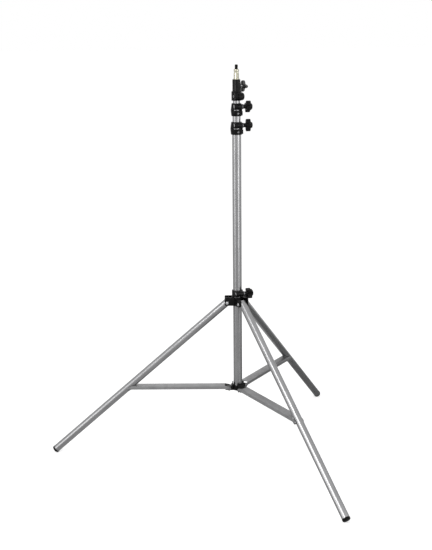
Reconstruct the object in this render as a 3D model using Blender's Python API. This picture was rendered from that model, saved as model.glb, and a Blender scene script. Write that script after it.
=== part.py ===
"""Folding light stand: a telescoping column on three braced legs.

Metres, +Z up. The origin is on the floor, at the middle of the footprint's bounding box.
One leg points along -X, the others are 120 degrees on either side of it.
"""
import bpy
import bmesh
from math import cos, pi, radians, sin
from mathutils import Matrix

CLEARANCE = 0.0003

# Tubes, from the outside in
COLUMN_RADIUS = 0.014
RISER_1_RADIUS = 0.0125
RISER_2_RADIUS = 0.011
LEG_RADIUS = 0.012
TUBE_WALL = 0.0012
COLUMN_LENGTH = 0.8428
RISER_1_STANDOFF = 0.0300
RISER_2_STANDOFF = 0.0264

# Legs, as they stand when spread
LEG_AZIMUTHS = (180.0, -60.0, 60.0)
LEG_LENGTH = 0.7553
LEG_SPREAD = radians(48.75)
LEG_TOP_REACH = 0.0070
LEG_PIVOT_RADIUS = 0.0330
FOLDED_LEAN = radians(2.0)

# Feet
FOOT_RADIUS = 0.0126
FOOT_LENGTH = 0.0080
FOOT_ROUNDING = 0.0050
FOOT_FLAT_DEPTH = 0.0006
FOOT_PLUG_DEPTH = 0.0160

# Braces: a pressed channel, open below when the stand is spread
BRACE_PIVOT_ON_LEG = 0.4330
BRACE_PIVOT_OFFSET = 0.0040
BRACE_SIDE_GAP = 0.0015
BRACE_WALL = 0.0015
BRACE_WIDTH = 2 * (LEG_RADIUS + BRACE_SIDE_GAP + BRACE_WALL)
BRACE_WEB_HEIGHT = 0.0099
BRACE_EDGE_DROP = 0.0011
BRACE_EAR_RADIUS = 0.0065
BRACE_HUB_CUTBACK = 0.0140
BRACE_EAR_BLEND = 0.0100

# Rivets
RIVET_RADIUS = 0.0030
RIVET_HEAD_RADIUS = 0.0050
RIVET_HEAD_HEIGHT = 0.0018
RIVET_SHOULDER_RADIUS = 0.0055
HOLE_RADIUS = RIVET_RADIUS + CLEARANCE

# Hub at the column's lower end
HUB_BELOW_PIN = 0.0058
HUB_ABOVE_PIN = 0.0100
HUB_WALL = 0.0033
HUB_LUG_WIDTH = 2 * LEG_RADIUS
HUB_LUG_RADIUS = 0.0055
HUB_LUG_TIP = 0.0075
HUB_GUSSET_RISE = 0.0180
HUB_GUSSET_REACH = 0.0032
END_PLUG_FLANGE = 0.0015
END_PLUG_DEPTH = 0.0120

# Leg collar
COLLAR_BELOW_PIVOT = 0.0107
COLLAR_SPIDER_TOP = 0.0178
COLLAR_SLIT = 0.0018
COLLAR_TOP = 0.0397
COLLAR_SPIDER_WALL = 0.0043
COLLAR_RING_WALL = 0.0033
FORK_SIDE_GAP = 0.0006
FORK_CHEEK = 0.0040
FORK_REACH = 0.0080
FORK_DROP = 0.0090
FORK_CORNER = 0.0050
COLLAR_BOSS_HEIGHT = 0.0310
COLLAR_TURN = radians(18.0)

# Cross boss, bolt and washer shared by the two column clamps and the leg collar
BOSS_RADIUS = 0.0082
BOSS_HALF = 0.0125
BOSS_OFFSET = 0.0055
RING_SLIT = 0.0016
LANDING_DEPTH = 0.0004
BOLT_RADIUS = 0.0030
BOLT_HEAD_FLATS = 0.0100
BOLT_HEAD_HEIGHT = 0.0040
BOLT_STICK_OUT = 0.0205
WASHER_RADIUS = 0.0078
WASHER_THICKNESS = 0.0034

# Star knob of the clamps
KNOB_LOBES = 4
KNOB_RADIUS = 0.0190
KNOB_ROOT = 0.0105
KNOB_NECK_RADIUS = 0.0066
KNOB_NECK = 0.0083
KNOB_THICKNESS = 0.0140
KNOB_EDGE = 0.0016
KNOB_CROWN = 0.0060
KNOB_CROWN_RADIUS = 0.0094
INSERT_RADIUS = 0.0050
INSERT_LENGTH = 0.0130

# Clamp castings
CLAMP_HEIGHT = 0.0390
CLAMP_SLEEVE = 0.0172
CLAMP_SLIT = 0.0026
CLAMP_BOTTOM_WALL = 0.0024
CLAMP_WAIST_WALL = 0.0049
CLAMP_TOP_WALL = 0.0030
CLAMP_BOSS_HEIGHT = 0.0296
CLAMP_TURN = radians(14.0)
KNOB_PHASES = {"column_clamp": 0.0, "riser_clamp": 20.0, "leg_collar": 42.0}
PAD_RADIUS = 0.0068
PAD_REACH = 0.0062
PAD_HEIGHT = 0.0082
SCREW_RADIUS = 0.0020
SCREW_HEAD_RADIUS = 0.0034
SCREW_HEAD_HEIGHT = 0.0018
SCREW_SEAT_DEPTH = 0.0010
SCREW_AZIMUTH = radians(-88.0)
SCREW_HEIGHT = 0.0086

# Top casting, spigot and its knob
SOCKET_CUP_HEIGHT = 0.0270
SOCKET_CUP_WALL = 0.0041
SOCKET_SHOULDER = 0.0022
SOCKET_HEIGHT = 0.0639
SOCKET_WALL = 0.0040
SOCKET_FLOOR = 0.0110
SPIGOT_RADIUS = 0.0080
SPIGOT_DEPTH = 0.0300
SPIGOT_HEIGHT = 0.0305
SPIGOT_COLLAR_RADIUS = 0.0093
SPIGOT_COLLAR_HEIGHT = 0.0025
SPIGOT_WAIST_RADIUS = 0.0070
SPIGOT_WAIST_DROP = 0.0070
SPIGOT_WAIST_HEIGHT = 0.0040
TIP_RADIUS = 0.0049
TIP_HEIGHT = 0.0149
TIP_DEPTH = 0.0100
TIP_DOME = 0.0022
PINCH_BOSS_RADIUS = 0.0120
PINCH_BOSS_HEIGHT = 0.0132
PINCH_BOSS_REACH = 0.0205
PINCH_BOSS_TAIL = 0.0100
PINCH_BOSS_ROUNDING = 0.0075
PINCH_BOLT_RADIUS = 0.0025
PINCH_HEAD_FLATS = 0.0080
PINCH_HEAD_HEIGHT = 0.0035
SPIGOT_KNOB_AZIMUTH = radians(50.0)
SPIGOT_KNOB_DROP = 0.0217
SPIGOT_KNOB_HEIGHT = SOCKET_HEIGHT - SPIGOT_KNOB_DROP
SPIGOT_KNOB_RADIUS = 0.0175
SPIGOT_KNOB_ROOT = 0.0084
SPIGOT_KNOB_THICKNESS = 0.0105
SPIGOT_KNOB_NECK = 0.0100
SPIGOT_KNOB_NECK_RADIUS = 0.0056
SPIGOT_KNOB_CROWN = 0.0034
SPIGOT_KNOB_PHASE = 5.0
SPIGOT_BOSS_RADIUS = 0.0065
SPIGOT_BOSS_REACH = 0.0030

# Stand-off between the column clamp's top and the riser clamp, and above that
RISER_1_SHOW = 0.0176
RISER_2_SHOW = 0.0082
GUIDE_DEPTH = 0.0180
GUIDE_LIP = 0.0025

# Sides of the turned solids
TUBE_SIDES = 24
CASTING_SIDES = 32
SMALL_SIDES = 16
RIVET_SIDES = 12
KNOB_SIDES = 32
OVERCUT = 0.0020
WELD_DISTANCE = 0.000002

# Worked out from the sizes above
FOOT_SUPPORT = (
    (FOOT_LENGTH - FOOT_ROUNDING) * cos(LEG_SPREAD)
    + (FOOT_RADIUS - FOOT_ROUNDING) * sin(LEG_SPREAD)
    + FOOT_ROUNDING
)
LEG_PIVOT_Z = LEG_LENGTH * cos(LEG_SPREAD) + FOOT_SUPPORT - FOOT_FLAT_DEPTH
HUB_PIN_Z = (
    LEG_PIVOT_Z - BRACE_PIVOT_ON_LEG * cos(LEG_SPREAD) - BRACE_PIVOT_OFFSET * sin(LEG_SPREAD)
)
HUB_PIN_RADIUS = LEG_PIVOT_RADIUS - BRACE_PIVOT_OFFSET
BRACE_LENGTH = (
    LEG_PIVOT_RADIUS
    + BRACE_PIVOT_ON_LEG * sin(LEG_SPREAD)
    - BRACE_PIVOT_OFFSET * cos(LEG_SPREAD)
    - HUB_PIN_RADIUS
)
HUB_BOTTOM_Z = HUB_PIN_Z - HUB_BELOW_PIN
COLUMN_BOTTOM_Z = HUB_BOTTOM_Z + END_PLUG_FLANGE + 2 * CLEARANCE
COLUMN_TOP_Z = COLUMN_BOTTOM_Z + COLUMN_LENGTH
COLUMN_CLAMP_Z = COLUMN_TOP_Z - CLAMP_SLEEVE + CLEARANCE
RISER_CLAMP_Z = COLUMN_CLAMP_Z + CLAMP_HEIGHT + RISER_1_SHOW
RISER_1_TOP_Z = RISER_CLAMP_Z + CLAMP_SLEEVE - CLEARANCE
RISER_1_BOTTOM_Z = COLUMN_BOTTOM_Z + RISER_1_STANDOFF
SOCKET_Z = RISER_CLAMP_Z + CLAMP_HEIGHT + RISER_2_SHOW
RISER_2_TOP_Z = SOCKET_Z + SOCKET_CUP_HEIGHT - SOCKET_SHOULDER - CLEARANCE
RISER_2_BOTTOM_Z = RISER_1_BOTTOM_Z + RISER_2_STANDOFF


def foot_reach(turn_from_leg):
    """How far a foot reaches from the column's axis, seen at an angle from its leg."""
    along = sin(LEG_SPREAD) * cos(turn_from_leg)
    across = (1.0 - along * along) ** 0.5
    straight = LEG_PIVOT_RADIUS * cos(turn_from_leg)
    centre = (LEG_LENGTH + FOOT_LENGTH - FOOT_ROUNDING) * along
    return straight + centre + (FOOT_RADIUS - FOOT_ROUNDING) * across + FOOT_ROUNDING


AXIS_X = (foot_reach(0.0) - foot_reach(radians(60.0))) / 2


def clear_scene():
    for item in list(bpy.data.objects):
        bpy.data.objects.remove(item, do_unlink=True)


def make_material(name, colour, roughness, metallic):
    material = bpy.data.materials.new(name)
    material.use_nodes = True
    shader = material.node_tree.nodes["Principled BSDF"]
    shader.inputs["Base Color"].default_value = (*colour, 1.0)
    shader.inputs["Roughness"].default_value = roughness
    shader.inputs["Metallic"].default_value = metallic
    return material


def make_axis(name, location, rotation=(0.0, 0.0, 0.0), parent=None):
    """An empty that stands on a joint's axis and carries the pieces that turn with it."""
    axis = bpy.data.objects.new(name, None)
    axis.location = location
    axis.rotation_euler = rotation
    axis.parent = parent
    bpy.context.scene.collection.objects.link(axis)
    return axis


def to_mesh(bm, name):
    bmesh.ops.remove_doubles(bm, verts=bm.verts, dist=1e-7)
    bmesh.ops.recalc_face_normals(bm, faces=bm.faces)
    mesh = bpy.data.meshes.new(name)
    bm.to_mesh(mesh)
    bm.free()
    mesh.shade_smooth()
    mesh.set_sharp_from_angle(angle=radians(32.0))
    return mesh


def add_piece(name, mesh, material, parent=None):
    piece = bpy.data.objects.new(name, mesh)
    piece.data.materials.append(material)
    piece.parent = parent
    bpy.context.scene.collection.objects.link(piece)
    return piece


def add_tool(name, mesh, parent=None):
    """A guide solid that only shapes another piece."""
    tool = bpy.data.objects.new(name, mesh)
    tool.parent = parent
    tool.hide_render = True
    tool.display_type = "WIRE"
    bpy.context.scene.collection.objects.link(tool)
    return tool


def combine(piece, tool, operation):
    """Boolean with a guide solid, then a weld of the corners it left doubled."""
    modifier = piece.modifiers.new(tool.name, "BOOLEAN")
    modifier.operation = operation
    modifier.solver = "EXACT"
    modifier.object = tool
    weld = piece.modifiers.new(f"{tool.name}_weld", "WELD")
    weld.merge_threshold = WELD_DISTANCE


def turned(name, profile, sides=TUBE_SIDES, place=None):
    """A closed solid of revolution about Z; a profile that starts off the axis is a ring."""
    bm = bmesh.new()
    corners = [bm.verts.new((radius, 0.0, height)) for radius, height in profile if radius > 0.0]
    edges = [bm.edges.new(pair) for pair in zip(corners, corners[1:])]
    if profile[0][0] > 0.0:
        edges.append(bm.edges.new((corners[-1], corners[0])))
    about = {"cent": (0, 0, 0), "axis": (0, 0, 1)}
    bmesh.ops.spin(bm, geom=corners + edges, angle=2 * pi, steps=sides, use_merge=True, **about)
    bmesh.ops.holes_fill(bm, edges=bm.edges, sides=0)
    if place is not None:
        bm.transform(place)
    return to_mesh(bm, name)


def prism(name, outline, low, high, place=None):
    """A closed outline in the XY plane, extruded along Z."""
    bm = bmesh.new()
    face = bm.faces.new([bm.verts.new((x, y, low)) for x, y in outline])
    grown = bmesh.ops.extrude_face_region(bm, geom=[face])
    raised = [item for item in grown["geom"] if isinstance(item, bmesh.types.BMVert)]
    bmesh.ops.translate(bm, verts=raised, vec=(0.0, 0.0, high - low))
    if place is not None:
        bm.transform(place)
    return to_mesh(bm, name)


def block(name, low, high, place=None):
    outline = [(low[0], low[1]), (high[0], low[1]), (high[0], high[1]), (low[0], high[1])]
    return prism(name, outline, low[2], high[2], place)


def ring_profile(inner, outer, low, high):
    return [(inner, low), (outer, low), (outer, high), (inner, high)]


def rod_profile(radius, low, high):
    return [(0.0, low), (radius, low), (radius, high), (0.0, high)]


def arc(centre_x, centre_y, radius, start, end, steps):
    """Points on an arc, from the start angle to the end angle in degrees."""
    turn = radians(end - start) / steps
    angles = [radians(start) + turn * step for step in range(steps + 1)]
    return [(centre_x + radius * cos(angle), centre_y + radius * sin(angle)) for angle in angles]


def hexagon(flats):
    corner = flats / 2 / cos(pi / 6)
    return [(corner * cos(pi / 3 * side), corner * sin(pi / 3 * side)) for side in range(6)]


def across_y():
    """Turns a solid's Z axis onto Y, and its Y axis onto -Z."""
    return Matrix.Rotation(-pi / 2, 4, "X")


def side_on():
    """Stands an XY outline up in the XZ plane, with its thickness along Y."""
    return Matrix.Rotation(pi / 2, 4, "X")


def along_x():
    """Turns a solid's Z axis onto X."""
    return Matrix.Rotation(pi / 2, 4, "Y")


def outward(azimuth, height):
    """Lays a solid's Z axis along a horizontal direction, at a height."""
    return Matrix.Translation((0.0, 0.0, height)) @ Matrix.Rotation(azimuth, 4, "Z") @ along_x()


def make_column(materials, parent):
    tube = ring_profile(COLUMN_RADIUS - TUBE_WALL, COLUMN_RADIUS, COLUMN_BOTTOM_Z, COLUMN_TOP_Z)
    add_piece("base_column", turned("base_column", tube), materials["tube"], parent)
    bore = COLUMN_RADIUS - TUBE_WALL - CLEARANCE
    flange = HUB_BOTTOM_Z + CLEARANCE
    seat = flange + END_PLUG_FLANGE
    plug = [
        (0.0, flange),
        (COLUMN_RADIUS - CLEARANCE, flange),
        (COLUMN_RADIUS - CLEARANCE, seat),
        (bore, seat),
        (bore, seat + END_PLUG_DEPTH),
        (bore - 2 * TUBE_WALL, seat + END_PLUG_DEPTH),
        (bore - 2 * TUBE_WALL, seat),
        (0.0, seat),
    ]
    add_piece("column_end_plug", turned("column_end_plug", plug), materials["plastic"], parent)


def hub_lug_outline():
    """Side view of a lug: a tongue that ends past the pin, and a gusset up the sleeve."""
    inner = COLUMN_RADIUS + HUB_WALL / 2
    gusset = COLUMN_RADIUS + HUB_WALL
    return [
        (inner, -HUB_LUG_RADIUS),
        *arc(HUB_PIN_RADIUS + HUB_LUG_TIP, 0.0, HUB_LUG_RADIUS, -90.0, 90.0, 8),
        (gusset + 2 * HUB_GUSSET_REACH, HUB_LUG_RADIUS),
        (gusset + HUB_GUSSET_REACH, HUB_GUSSET_RISE * 0.6),
        (gusset + HUB_GUSSET_REACH / 3, HUB_GUSSET_RISE * 0.7),
        (gusset + HUB_GUSSET_REACH / 3, HUB_GUSSET_RISE),
        (inner, HUB_GUSSET_RISE),
    ]


def make_hub(materials, parent):
    axis = make_axis("hub_axis", (0.0, 0.0, HUB_PIN_Z), parent=parent)
    outer = COLUMN_RADIUS + CLEARANCE + HUB_WALL
    low = -HUB_BELOW_PIN
    sleeve = [
        (COLUMN_RADIUS / 2, low),
        (outer - HUB_WALL / 3, low),
        (outer, low + HUB_WALL / 3),
        (outer, HUB_ABOVE_PIN - HUB_WALL / 3),
        (outer - HUB_WALL / 3, HUB_ABOVE_PIN),
        (COLUMN_RADIUS / 2, HUB_ABOVE_PIN),
    ]
    hub = add_piece("brace_hub", turned("brace_hub", sleeve, CASTING_SIDES), materials["casting"], axis)
    half = HUB_LUG_WIDTH / 2
    for number, azimuth in enumerate(LEG_AZIMUTHS, 1):
        turn = Matrix.Rotation(radians(azimuth), 4, "Z")
        lug = prism(f"hub_lug_{number}", hub_lug_outline(), -half, half, turn @ side_on())
        combine(hub, add_tool(f"hub_lug_{number}", lug, axis), "UNION")
    bore = rod_profile(COLUMN_RADIUS + CLEARANCE, low - OVERCUT, HUB_GUSSET_RISE + OVERCUT)
    combine(hub, add_tool("hub_bore", turned("hub_bore", bore, CASTING_SIDES), axis), "DIFFERENCE")
    for number, azimuth in enumerate(LEG_AZIMUTHS, 1):
        turn = Matrix.Rotation(radians(azimuth), 4, "Z")
        place = turn @ Matrix.Translation((HUB_PIN_RADIUS, 0.0, 0.0)) @ across_y()
        hole = rod_profile(HOLE_RADIUS, -half - OVERCUT, half + OVERCUT)
        mesh = turned("hub_pin_hole", hole, RIVET_SIDES, place)
        combine(hub, add_tool(f"hub_pin_hole_{number}", mesh, axis), "DIFFERENCE")


def brace_outline():
    """Side view of a brace, from the hub pin at zero to the leg pivot at its length."""
    ear = BRACE_EAR_RADIUS
    return [
        *arc(0.0, 0.0, ear, 95.0, 270.0, 7),
        (BRACE_EAR_BLEND, -BRACE_EDGE_DROP),
        (BRACE_LENGTH - BRACE_EAR_BLEND, -BRACE_EDGE_DROP),
        *arc(BRACE_LENGTH, 0.0, ear, -90.0, 72.0, 7),
        (BRACE_LENGTH - BRACE_EAR_BLEND, BRACE_WEB_HEIGHT),
        (BRACE_HUB_CUTBACK, BRACE_WEB_HEIGHT),
    ]


def through_rivet(name, inner_half, material, parent, place):
    """A rivet through both cheeks of a brace, with shoulders up to what it straddles."""
    outer_face = BRACE_WIDTH / 2 + CLEARANCE
    inner_face = BRACE_WIDTH / 2 - BRACE_WALL - CLEARANCE
    half = [
        (RIVET_SHOULDER_RADIUS, inner_half),
        (RIVET_SHOULDER_RADIUS, inner_face),
        (RIVET_RADIUS, inner_face),
        (RIVET_RADIUS, outer_face),
        (RIVET_HEAD_RADIUS, outer_face),
        (RIVET_HEAD_RADIUS * 0.8, outer_face + RIVET_HEAD_HEIGHT),
        (0.0, outer_face + RIVET_HEAD_HEIGHT),
    ]
    near = [(radius, -height) for radius, height in reversed(half)]
    shank = [(RIVET_RADIUS, -inner_half), (RIVET_RADIUS, inner_half)]
    mesh = turned(name, near + shank + half, RIVET_SIDES, place @ across_y())
    add_piece(name, mesh, material, parent)


def make_braces(materials, parent):
    half = BRACE_WIDTH / 2
    inside = half - BRACE_WALL
    web_inner = BRACE_WEB_HEIGHT - BRACE_WALL
    for number, azimuth in enumerate(LEG_AZIMUTHS, 1):
        turn = radians(azimuth)
        pin = (HUB_PIN_RADIUS * cos(turn), HUB_PIN_RADIUS * sin(turn), HUB_PIN_Z)
        axis = make_axis(f"brace_axis_{number}", pin, (0.0, 0.0, turn), parent)
        name = f"brace_{number}"
        channel = prism(name, brace_outline(), -half, half, side_on())
        brace = add_piece(name, channel, materials["brace"], axis)
        end = BRACE_LENGTH + 2 * BRACE_EAR_RADIUS
        hollows = {
            "channel": ((-end, -inside, -BRACE_WIDTH), (2 * end, inside, web_inner)),
            "hub_end": ((-end, -inside, 0.0), (BRACE_HUB_CUTBACK, inside, 2 * BRACE_WEB_HEIGHT)),
            "leg_end": (
                (BRACE_LENGTH - BRACE_EAR_BLEND, -inside, 0.0),
                (2 * end, inside, 2 * BRACE_WEB_HEIGHT),
            ),
        }
        for part, (low, high) in hollows.items():
            tool = add_tool(f"{name}_{part}", block(part, low, high), axis)
            combine(brace, tool, "DIFFERENCE")
        notch = rod_profile(LEG_RADIUS + BRACE_SIDE_GAP - CLEARANCE, 0.0, 2 * BRACE_WIDTH)
        lean = Matrix.Translation((BRACE_LENGTH, 0.0, 0.0)) @ Matrix.Rotation(-LEG_SPREAD, 4, "Y")
        beside_pin = lean @ Matrix.Translation((BRACE_PIVOT_OFFSET, 0.0, 0.0))
        tool = add_tool(f"{name}_notch", turned("notch", notch, CASTING_SIDES, beside_pin), axis)
        combine(brace, tool, "DIFFERENCE")
        for part, along in (("hub_hole", 0.0), ("leg_hole", BRACE_LENGTH)):
            hole = rod_profile(HOLE_RADIUS, -half - OVERCUT, half + OVERCUT)
            place = Matrix.Translation((along, 0.0, 0.0)) @ across_y()
            tool = add_tool(f"{name}_{part}", turned(part, hole, RIVET_SIDES, place), axis)
            combine(brace, tool, "DIFFERENCE")
        hub_side = HUB_LUG_WIDTH / 2 + CLEARANCE
        leg_side = LEG_RADIUS + CLEARANCE
        at_leg = Matrix.Translation((BRACE_LENGTH, 0.0, 0.0))
        through_rivet(f"hub_rivet_{number}", hub_side, materials["rivet"], axis, Matrix.Identity(4))
        through_rivet(f"brace_rivet_{number}", leg_side, materials["rivet"], axis, at_leg)


def foot_profile():
    """Foot plug about the leg's axis, its tube seat at zero and its end below."""
    stem = LEG_RADIUS - TUBE_WALL - CLEARANCE
    centre = (FOOT_RADIUS - FOOT_ROUNDING, FOOT_ROUNDING - FOOT_LENGTH)
    return [
        (0.0, -FOOT_LENGTH),
        *arc(*centre, FOOT_ROUNDING, -90.0, 0.0, 4),
        (FOOT_RADIUS, -CLEARANCE),
        (stem, -CLEARANCE),
        (stem, FOOT_PLUG_DEPTH),
        (stem - TUBE_WALL, FOOT_PLUG_DEPTH + TUBE_WALL),
        (0.0, FOOT_PLUG_DEPTH + TUBE_WALL),
    ]


def make_legs(materials, parent):
    floor = block("floor", (-2.0, -2.0, -0.1), (2.0, 2.0, 0.0))
    floor_tool = add_tool("floor", floor, parent)
    for number, azimuth in enumerate(LEG_AZIMUTHS, 1):
        turn = radians(azimuth)
        reach = HUB_PIN_RADIUS + BRACE_LENGTH
        pivot = (reach * cos(turn), reach * sin(turn), HUB_PIN_Z)
        axis = make_axis(f"leg_axis_{number}", pivot, (0.0, -LEG_SPREAD, turn), parent)
        on_leg = Matrix.Translation((BRACE_PIVOT_OFFSET, 0.0, 0.0))
        tube = ring_profile(
            LEG_RADIUS - TUBE_WALL,
            LEG_RADIUS,
            BRACE_PIVOT_ON_LEG - LEG_LENGTH,
            BRACE_PIVOT_ON_LEG + LEG_TOP_REACH,
        )
        name = f"leg_tube_{number}"
        leg = add_piece(name, turned(name, tube, TUBE_SIDES, on_leg), materials["tube"], axis)
        at_top = Matrix.Translation((BRACE_PIVOT_OFFSET, 0.0, BRACE_PIVOT_ON_LEG))
        for part, place in (("pivot_hole", at_top), ("brace_hole", Matrix.Identity(4))):
            hole = rod_profile(HOLE_RADIUS, -LEG_RADIUS - OVERCUT, LEG_RADIUS + OVERCUT)
            mesh = turned(part, hole, RIVET_SIDES, place @ across_y())
            combine(leg, add_tool(f"{name}_{part}", mesh, axis), "DIFFERENCE")
        pin = rod_profile(RIVET_RADIUS, -LEG_RADIUS - CLEARANCE, LEG_RADIUS + CLEARANCE)
        pin_name = f"leg_pivot_pin_{number}"
        mesh = turned(pin_name, pin, RIVET_SIDES, at_top @ across_y())
        add_piece(pin_name, mesh, materials["rivet"], axis)
        at_end = Matrix.Translation((BRACE_PIVOT_OFFSET, 0.0, BRACE_PIVOT_ON_LEG - LEG_LENGTH))
        foot_name = f"foot_{number}"
        mesh = turned(foot_name, foot_profile(), TUBE_SIDES, at_end)
        foot = add_piece(foot_name, mesh, materials["rubber"], axis)
        combine(foot, floor_tool, "DIFFERENCE")


def fork_outline():
    """Side view of a fork's cheek, from the collar's wall outward."""
    corner = FORK_CORNER
    edge = LEG_PIVOT_RADIUS + FORK_REACH
    start = COLUMN_RADIUS / 2
    return [
        (start, -FORK_DROP),
        *arc(edge - corner, corner - FORK_DROP, corner, -90.0, 0.0, 4),
        *arc(edge - corner / 2, COLLAR_SPIDER_TOP - corner / 2, corner / 2, 0.0, 90.0, 3),
        (start, COLLAR_SPIDER_TOP),
    ]


def boss_distance(bore_radius):
    """From the tube's axis to the cross bolt's axis."""
    return bore_radius + BOSS_OFFSET


def add_cross_boss(piece, name, bore_radius, height, axis, landing=0.0):
    """Union of the cross boss, which lies along X in front of the ring."""
    place = Matrix.Translation((0.0, -boss_distance(bore_radius), height)) @ along_x()
    end = BOSS_HALF + landing
    mesh = turned(name, rod_profile(BOSS_RADIUS, -end, end), SMALL_SIDES + 4, place)
    combine(piece, add_tool(f"{name}_boss", mesh, axis), "UNION")


def cut_ring_slit(piece, name, low, high, reach, axis):
    half = RING_SLIT / 2
    mesh = block(name, (-half, -reach, low), (half, 0.0, high))
    combine(piece, add_tool(f"{name}_ring_slit", mesh, axis), "DIFFERENCE")


def cut_level_slit(piece, name, low, high, reach, axis):
    mesh = block(name, (-2 * reach, -2 * reach, low), (2 * reach, -reach / 8, high))
    combine(piece, add_tool(f"{name}_level_slit", mesh, axis), "DIFFERENCE")


def cut_spot_faces(piece, name, bore_radius, height, axis):
    """Faces the casting flush with the boss's two ends, where the bolt and washer sit."""
    place = Matrix.Translation((0.0, -boss_distance(bore_radius), height)) @ along_x()
    for side, low, high in (("knob", BOSS_HALF, 2 * BOSS_HALF), ("bolt", -2 * BOSS_HALF, -BOSS_HALF)):
        face = turned(name, rod_profile(BOSS_RADIUS + CLEARANCE, low, high), SMALL_SIDES, place)
        combine(piece, add_tool(f"{name}_{side}_face", face, axis), "DIFFERENCE")


def cut_bolt_hole(piece, name, bore_radius, height, axis):
    place = Matrix.Translation((0.0, -boss_distance(bore_radius), height)) @ along_x()
    hole = rod_profile(BOLT_RADIUS + CLEARANCE, -BOSS_HALF - OVERCUT, BOSS_HALF + OVERCUT)
    mesh = turned(name, hole, SMALL_SIDES, place)
    combine(piece, add_tool(f"{name}_bolt_hole", mesh, axis), "DIFFERENCE")
    pocket_end = -BOSS_HALF + BOLT_HEAD_HEIGHT + CLEARANCE
    pocket = prism(
        name, hexagon(BOLT_HEAD_FLATS + 2 * CLEARANCE), -BOSS_HALF - OVERCUT, pocket_end, place
    )
    combine(piece, add_tool(f"{name}_bolt_pocket", pocket, axis), "DIFFERENCE")


def make_bolt_set(name, bore_radius, height, body_axis, materials):
    """Hex bolt, washer and star knob on a cross boss; the knob turns on the bolt's axis."""
    at_bolt = (0.0, -boss_distance(bore_radius), height)
    place = Matrix.Translation(at_bolt) @ along_x()
    bolt = turned(
        f"{name}_bolt", rod_profile(BOLT_RADIUS, -BOSS_HALF, BOSS_HALF + BOLT_STICK_OUT), SMALL_SIDES, place
    )
    head = prism(name, hexagon(BOLT_HEAD_FLATS), -BOSS_HALF, -BOSS_HALF + BOLT_HEAD_HEIGHT, place)
    bolt_piece = add_piece(f"{name}_bolt", bolt, materials["steel"], body_axis)
    combine(bolt_piece, add_tool(f"{name}_bolt_head", head, body_axis), "UNION")
    washer_low = BOSS_HALF + CLEARANCE
    washer_high = washer_low + WASHER_THICKNESS
    washer = ring_profile(BOLT_RADIUS + CLEARANCE, WASHER_RADIUS, washer_low, washer_high)
    mesh = turned(f"{name}_washer", washer, SMALL_SIDES + 4, place)
    add_piece(f"{name}_washer", mesh, materials["steel"], body_axis)
    knob_axis = make_axis(f"{name}_knob_axis", at_bolt, (0.0, pi / 2, 0.0), body_axis)
    base = washer_high + CLEARANCE
    insert = ring_profile(BOLT_RADIUS + CLEARANCE, INSERT_RADIUS, base, base + INSERT_LENGTH)
    mesh = turned(f"{name}_knob_insert", insert, SMALL_SIDES)
    add_piece(f"{name}_knob_insert", mesh, materials["steel"], knob_axis)
    size = (KNOB_RADIUS, KNOB_ROOT, KNOB_NECK_RADIUS, KNOB_NECK, KNOB_THICKNESS, KNOB_CROWN)
    knob = star_knob(f"{name}_knob", base, *size, KNOB_PHASES[name])
    piece = add_piece(f"{name}_knob", knob, materials["knob"], knob_axis)
    step = base + INSERT_LENGTH + CLEARANCE
    bore = [
        (0.0, base - OVERCUT),
        (INSERT_RADIUS + CLEARANCE, base - OVERCUT),
        (INSERT_RADIUS + CLEARANCE, step),
        (BOLT_RADIUS + 2 * CLEARANCE, step),
        (BOLT_RADIUS + 2 * CLEARANCE, BOSS_HALF + BOLT_STICK_OUT + 2 * CLEARANCE),
        (0.0, BOSS_HALF + BOLT_STICK_OUT + 2 * CLEARANCE),
    ]
    tool = add_tool(f"{name}_knob_bore", turned("knob_bore", bore, SMALL_SIDES), knob_axis)
    combine(piece, tool, "DIFFERENCE")


def star_radius(angle, radius, root, phase):
    wave = 0.5 + 0.5 * cos(KNOB_LOBES * (angle - phase))
    return root + (radius - root) * wave ** 0.8


def star_knob(name, base, radius, root, neck_radius, neck, thickness, crown, phase):
    """A lobed knob about Z: a round neck if it has one, the star, and a cone up to its crown."""
    turn = radians(phase)
    low = base + neck
    high = low + thickness
    middle = KNOB_CROWN_RADIUS * radius / KNOB_RADIUS
    layers = [
        (low, None, KNOB_EDGE),
        (low + KNOB_EDGE, None, 0.0),
        (high - KNOB_EDGE, None, 0.0),
        (high, None, KNOB_EDGE),
        (high + crown / 2, middle, 0.0),
        (high + crown, middle * 0.7, 0.0),
    ]
    if neck > 0.0:
        layers = [(base, neck_radius, 0.0), (low - KNOB_EDGE, neck_radius, 0.0), *layers]
    bm = bmesh.new()
    rings = []
    for height, round_radius, inset in layers:
        ring = []
        for side in range(KNOB_SIDES):
            angle = 2 * pi * side / KNOB_SIDES
            reach = round_radius
            if round_radius is None:
                reach = star_radius(angle, radius, root, turn) - inset
            ring.append(bm.verts.new((reach * cos(angle), reach * sin(angle), height)))
        rings.append(ring)
    for lower, upper in zip(rings, rings[1:]):
        for side in range(KNOB_SIDES):
            following = (side + 1) % KNOB_SIDES
            bm.faces.new((lower[side], lower[following], upper[following], upper[side]))
    bm.faces.new(list(reversed(rings[0])))
    bm.faces.new(rings[-1])
    return to_mesh(bm, name)


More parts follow.
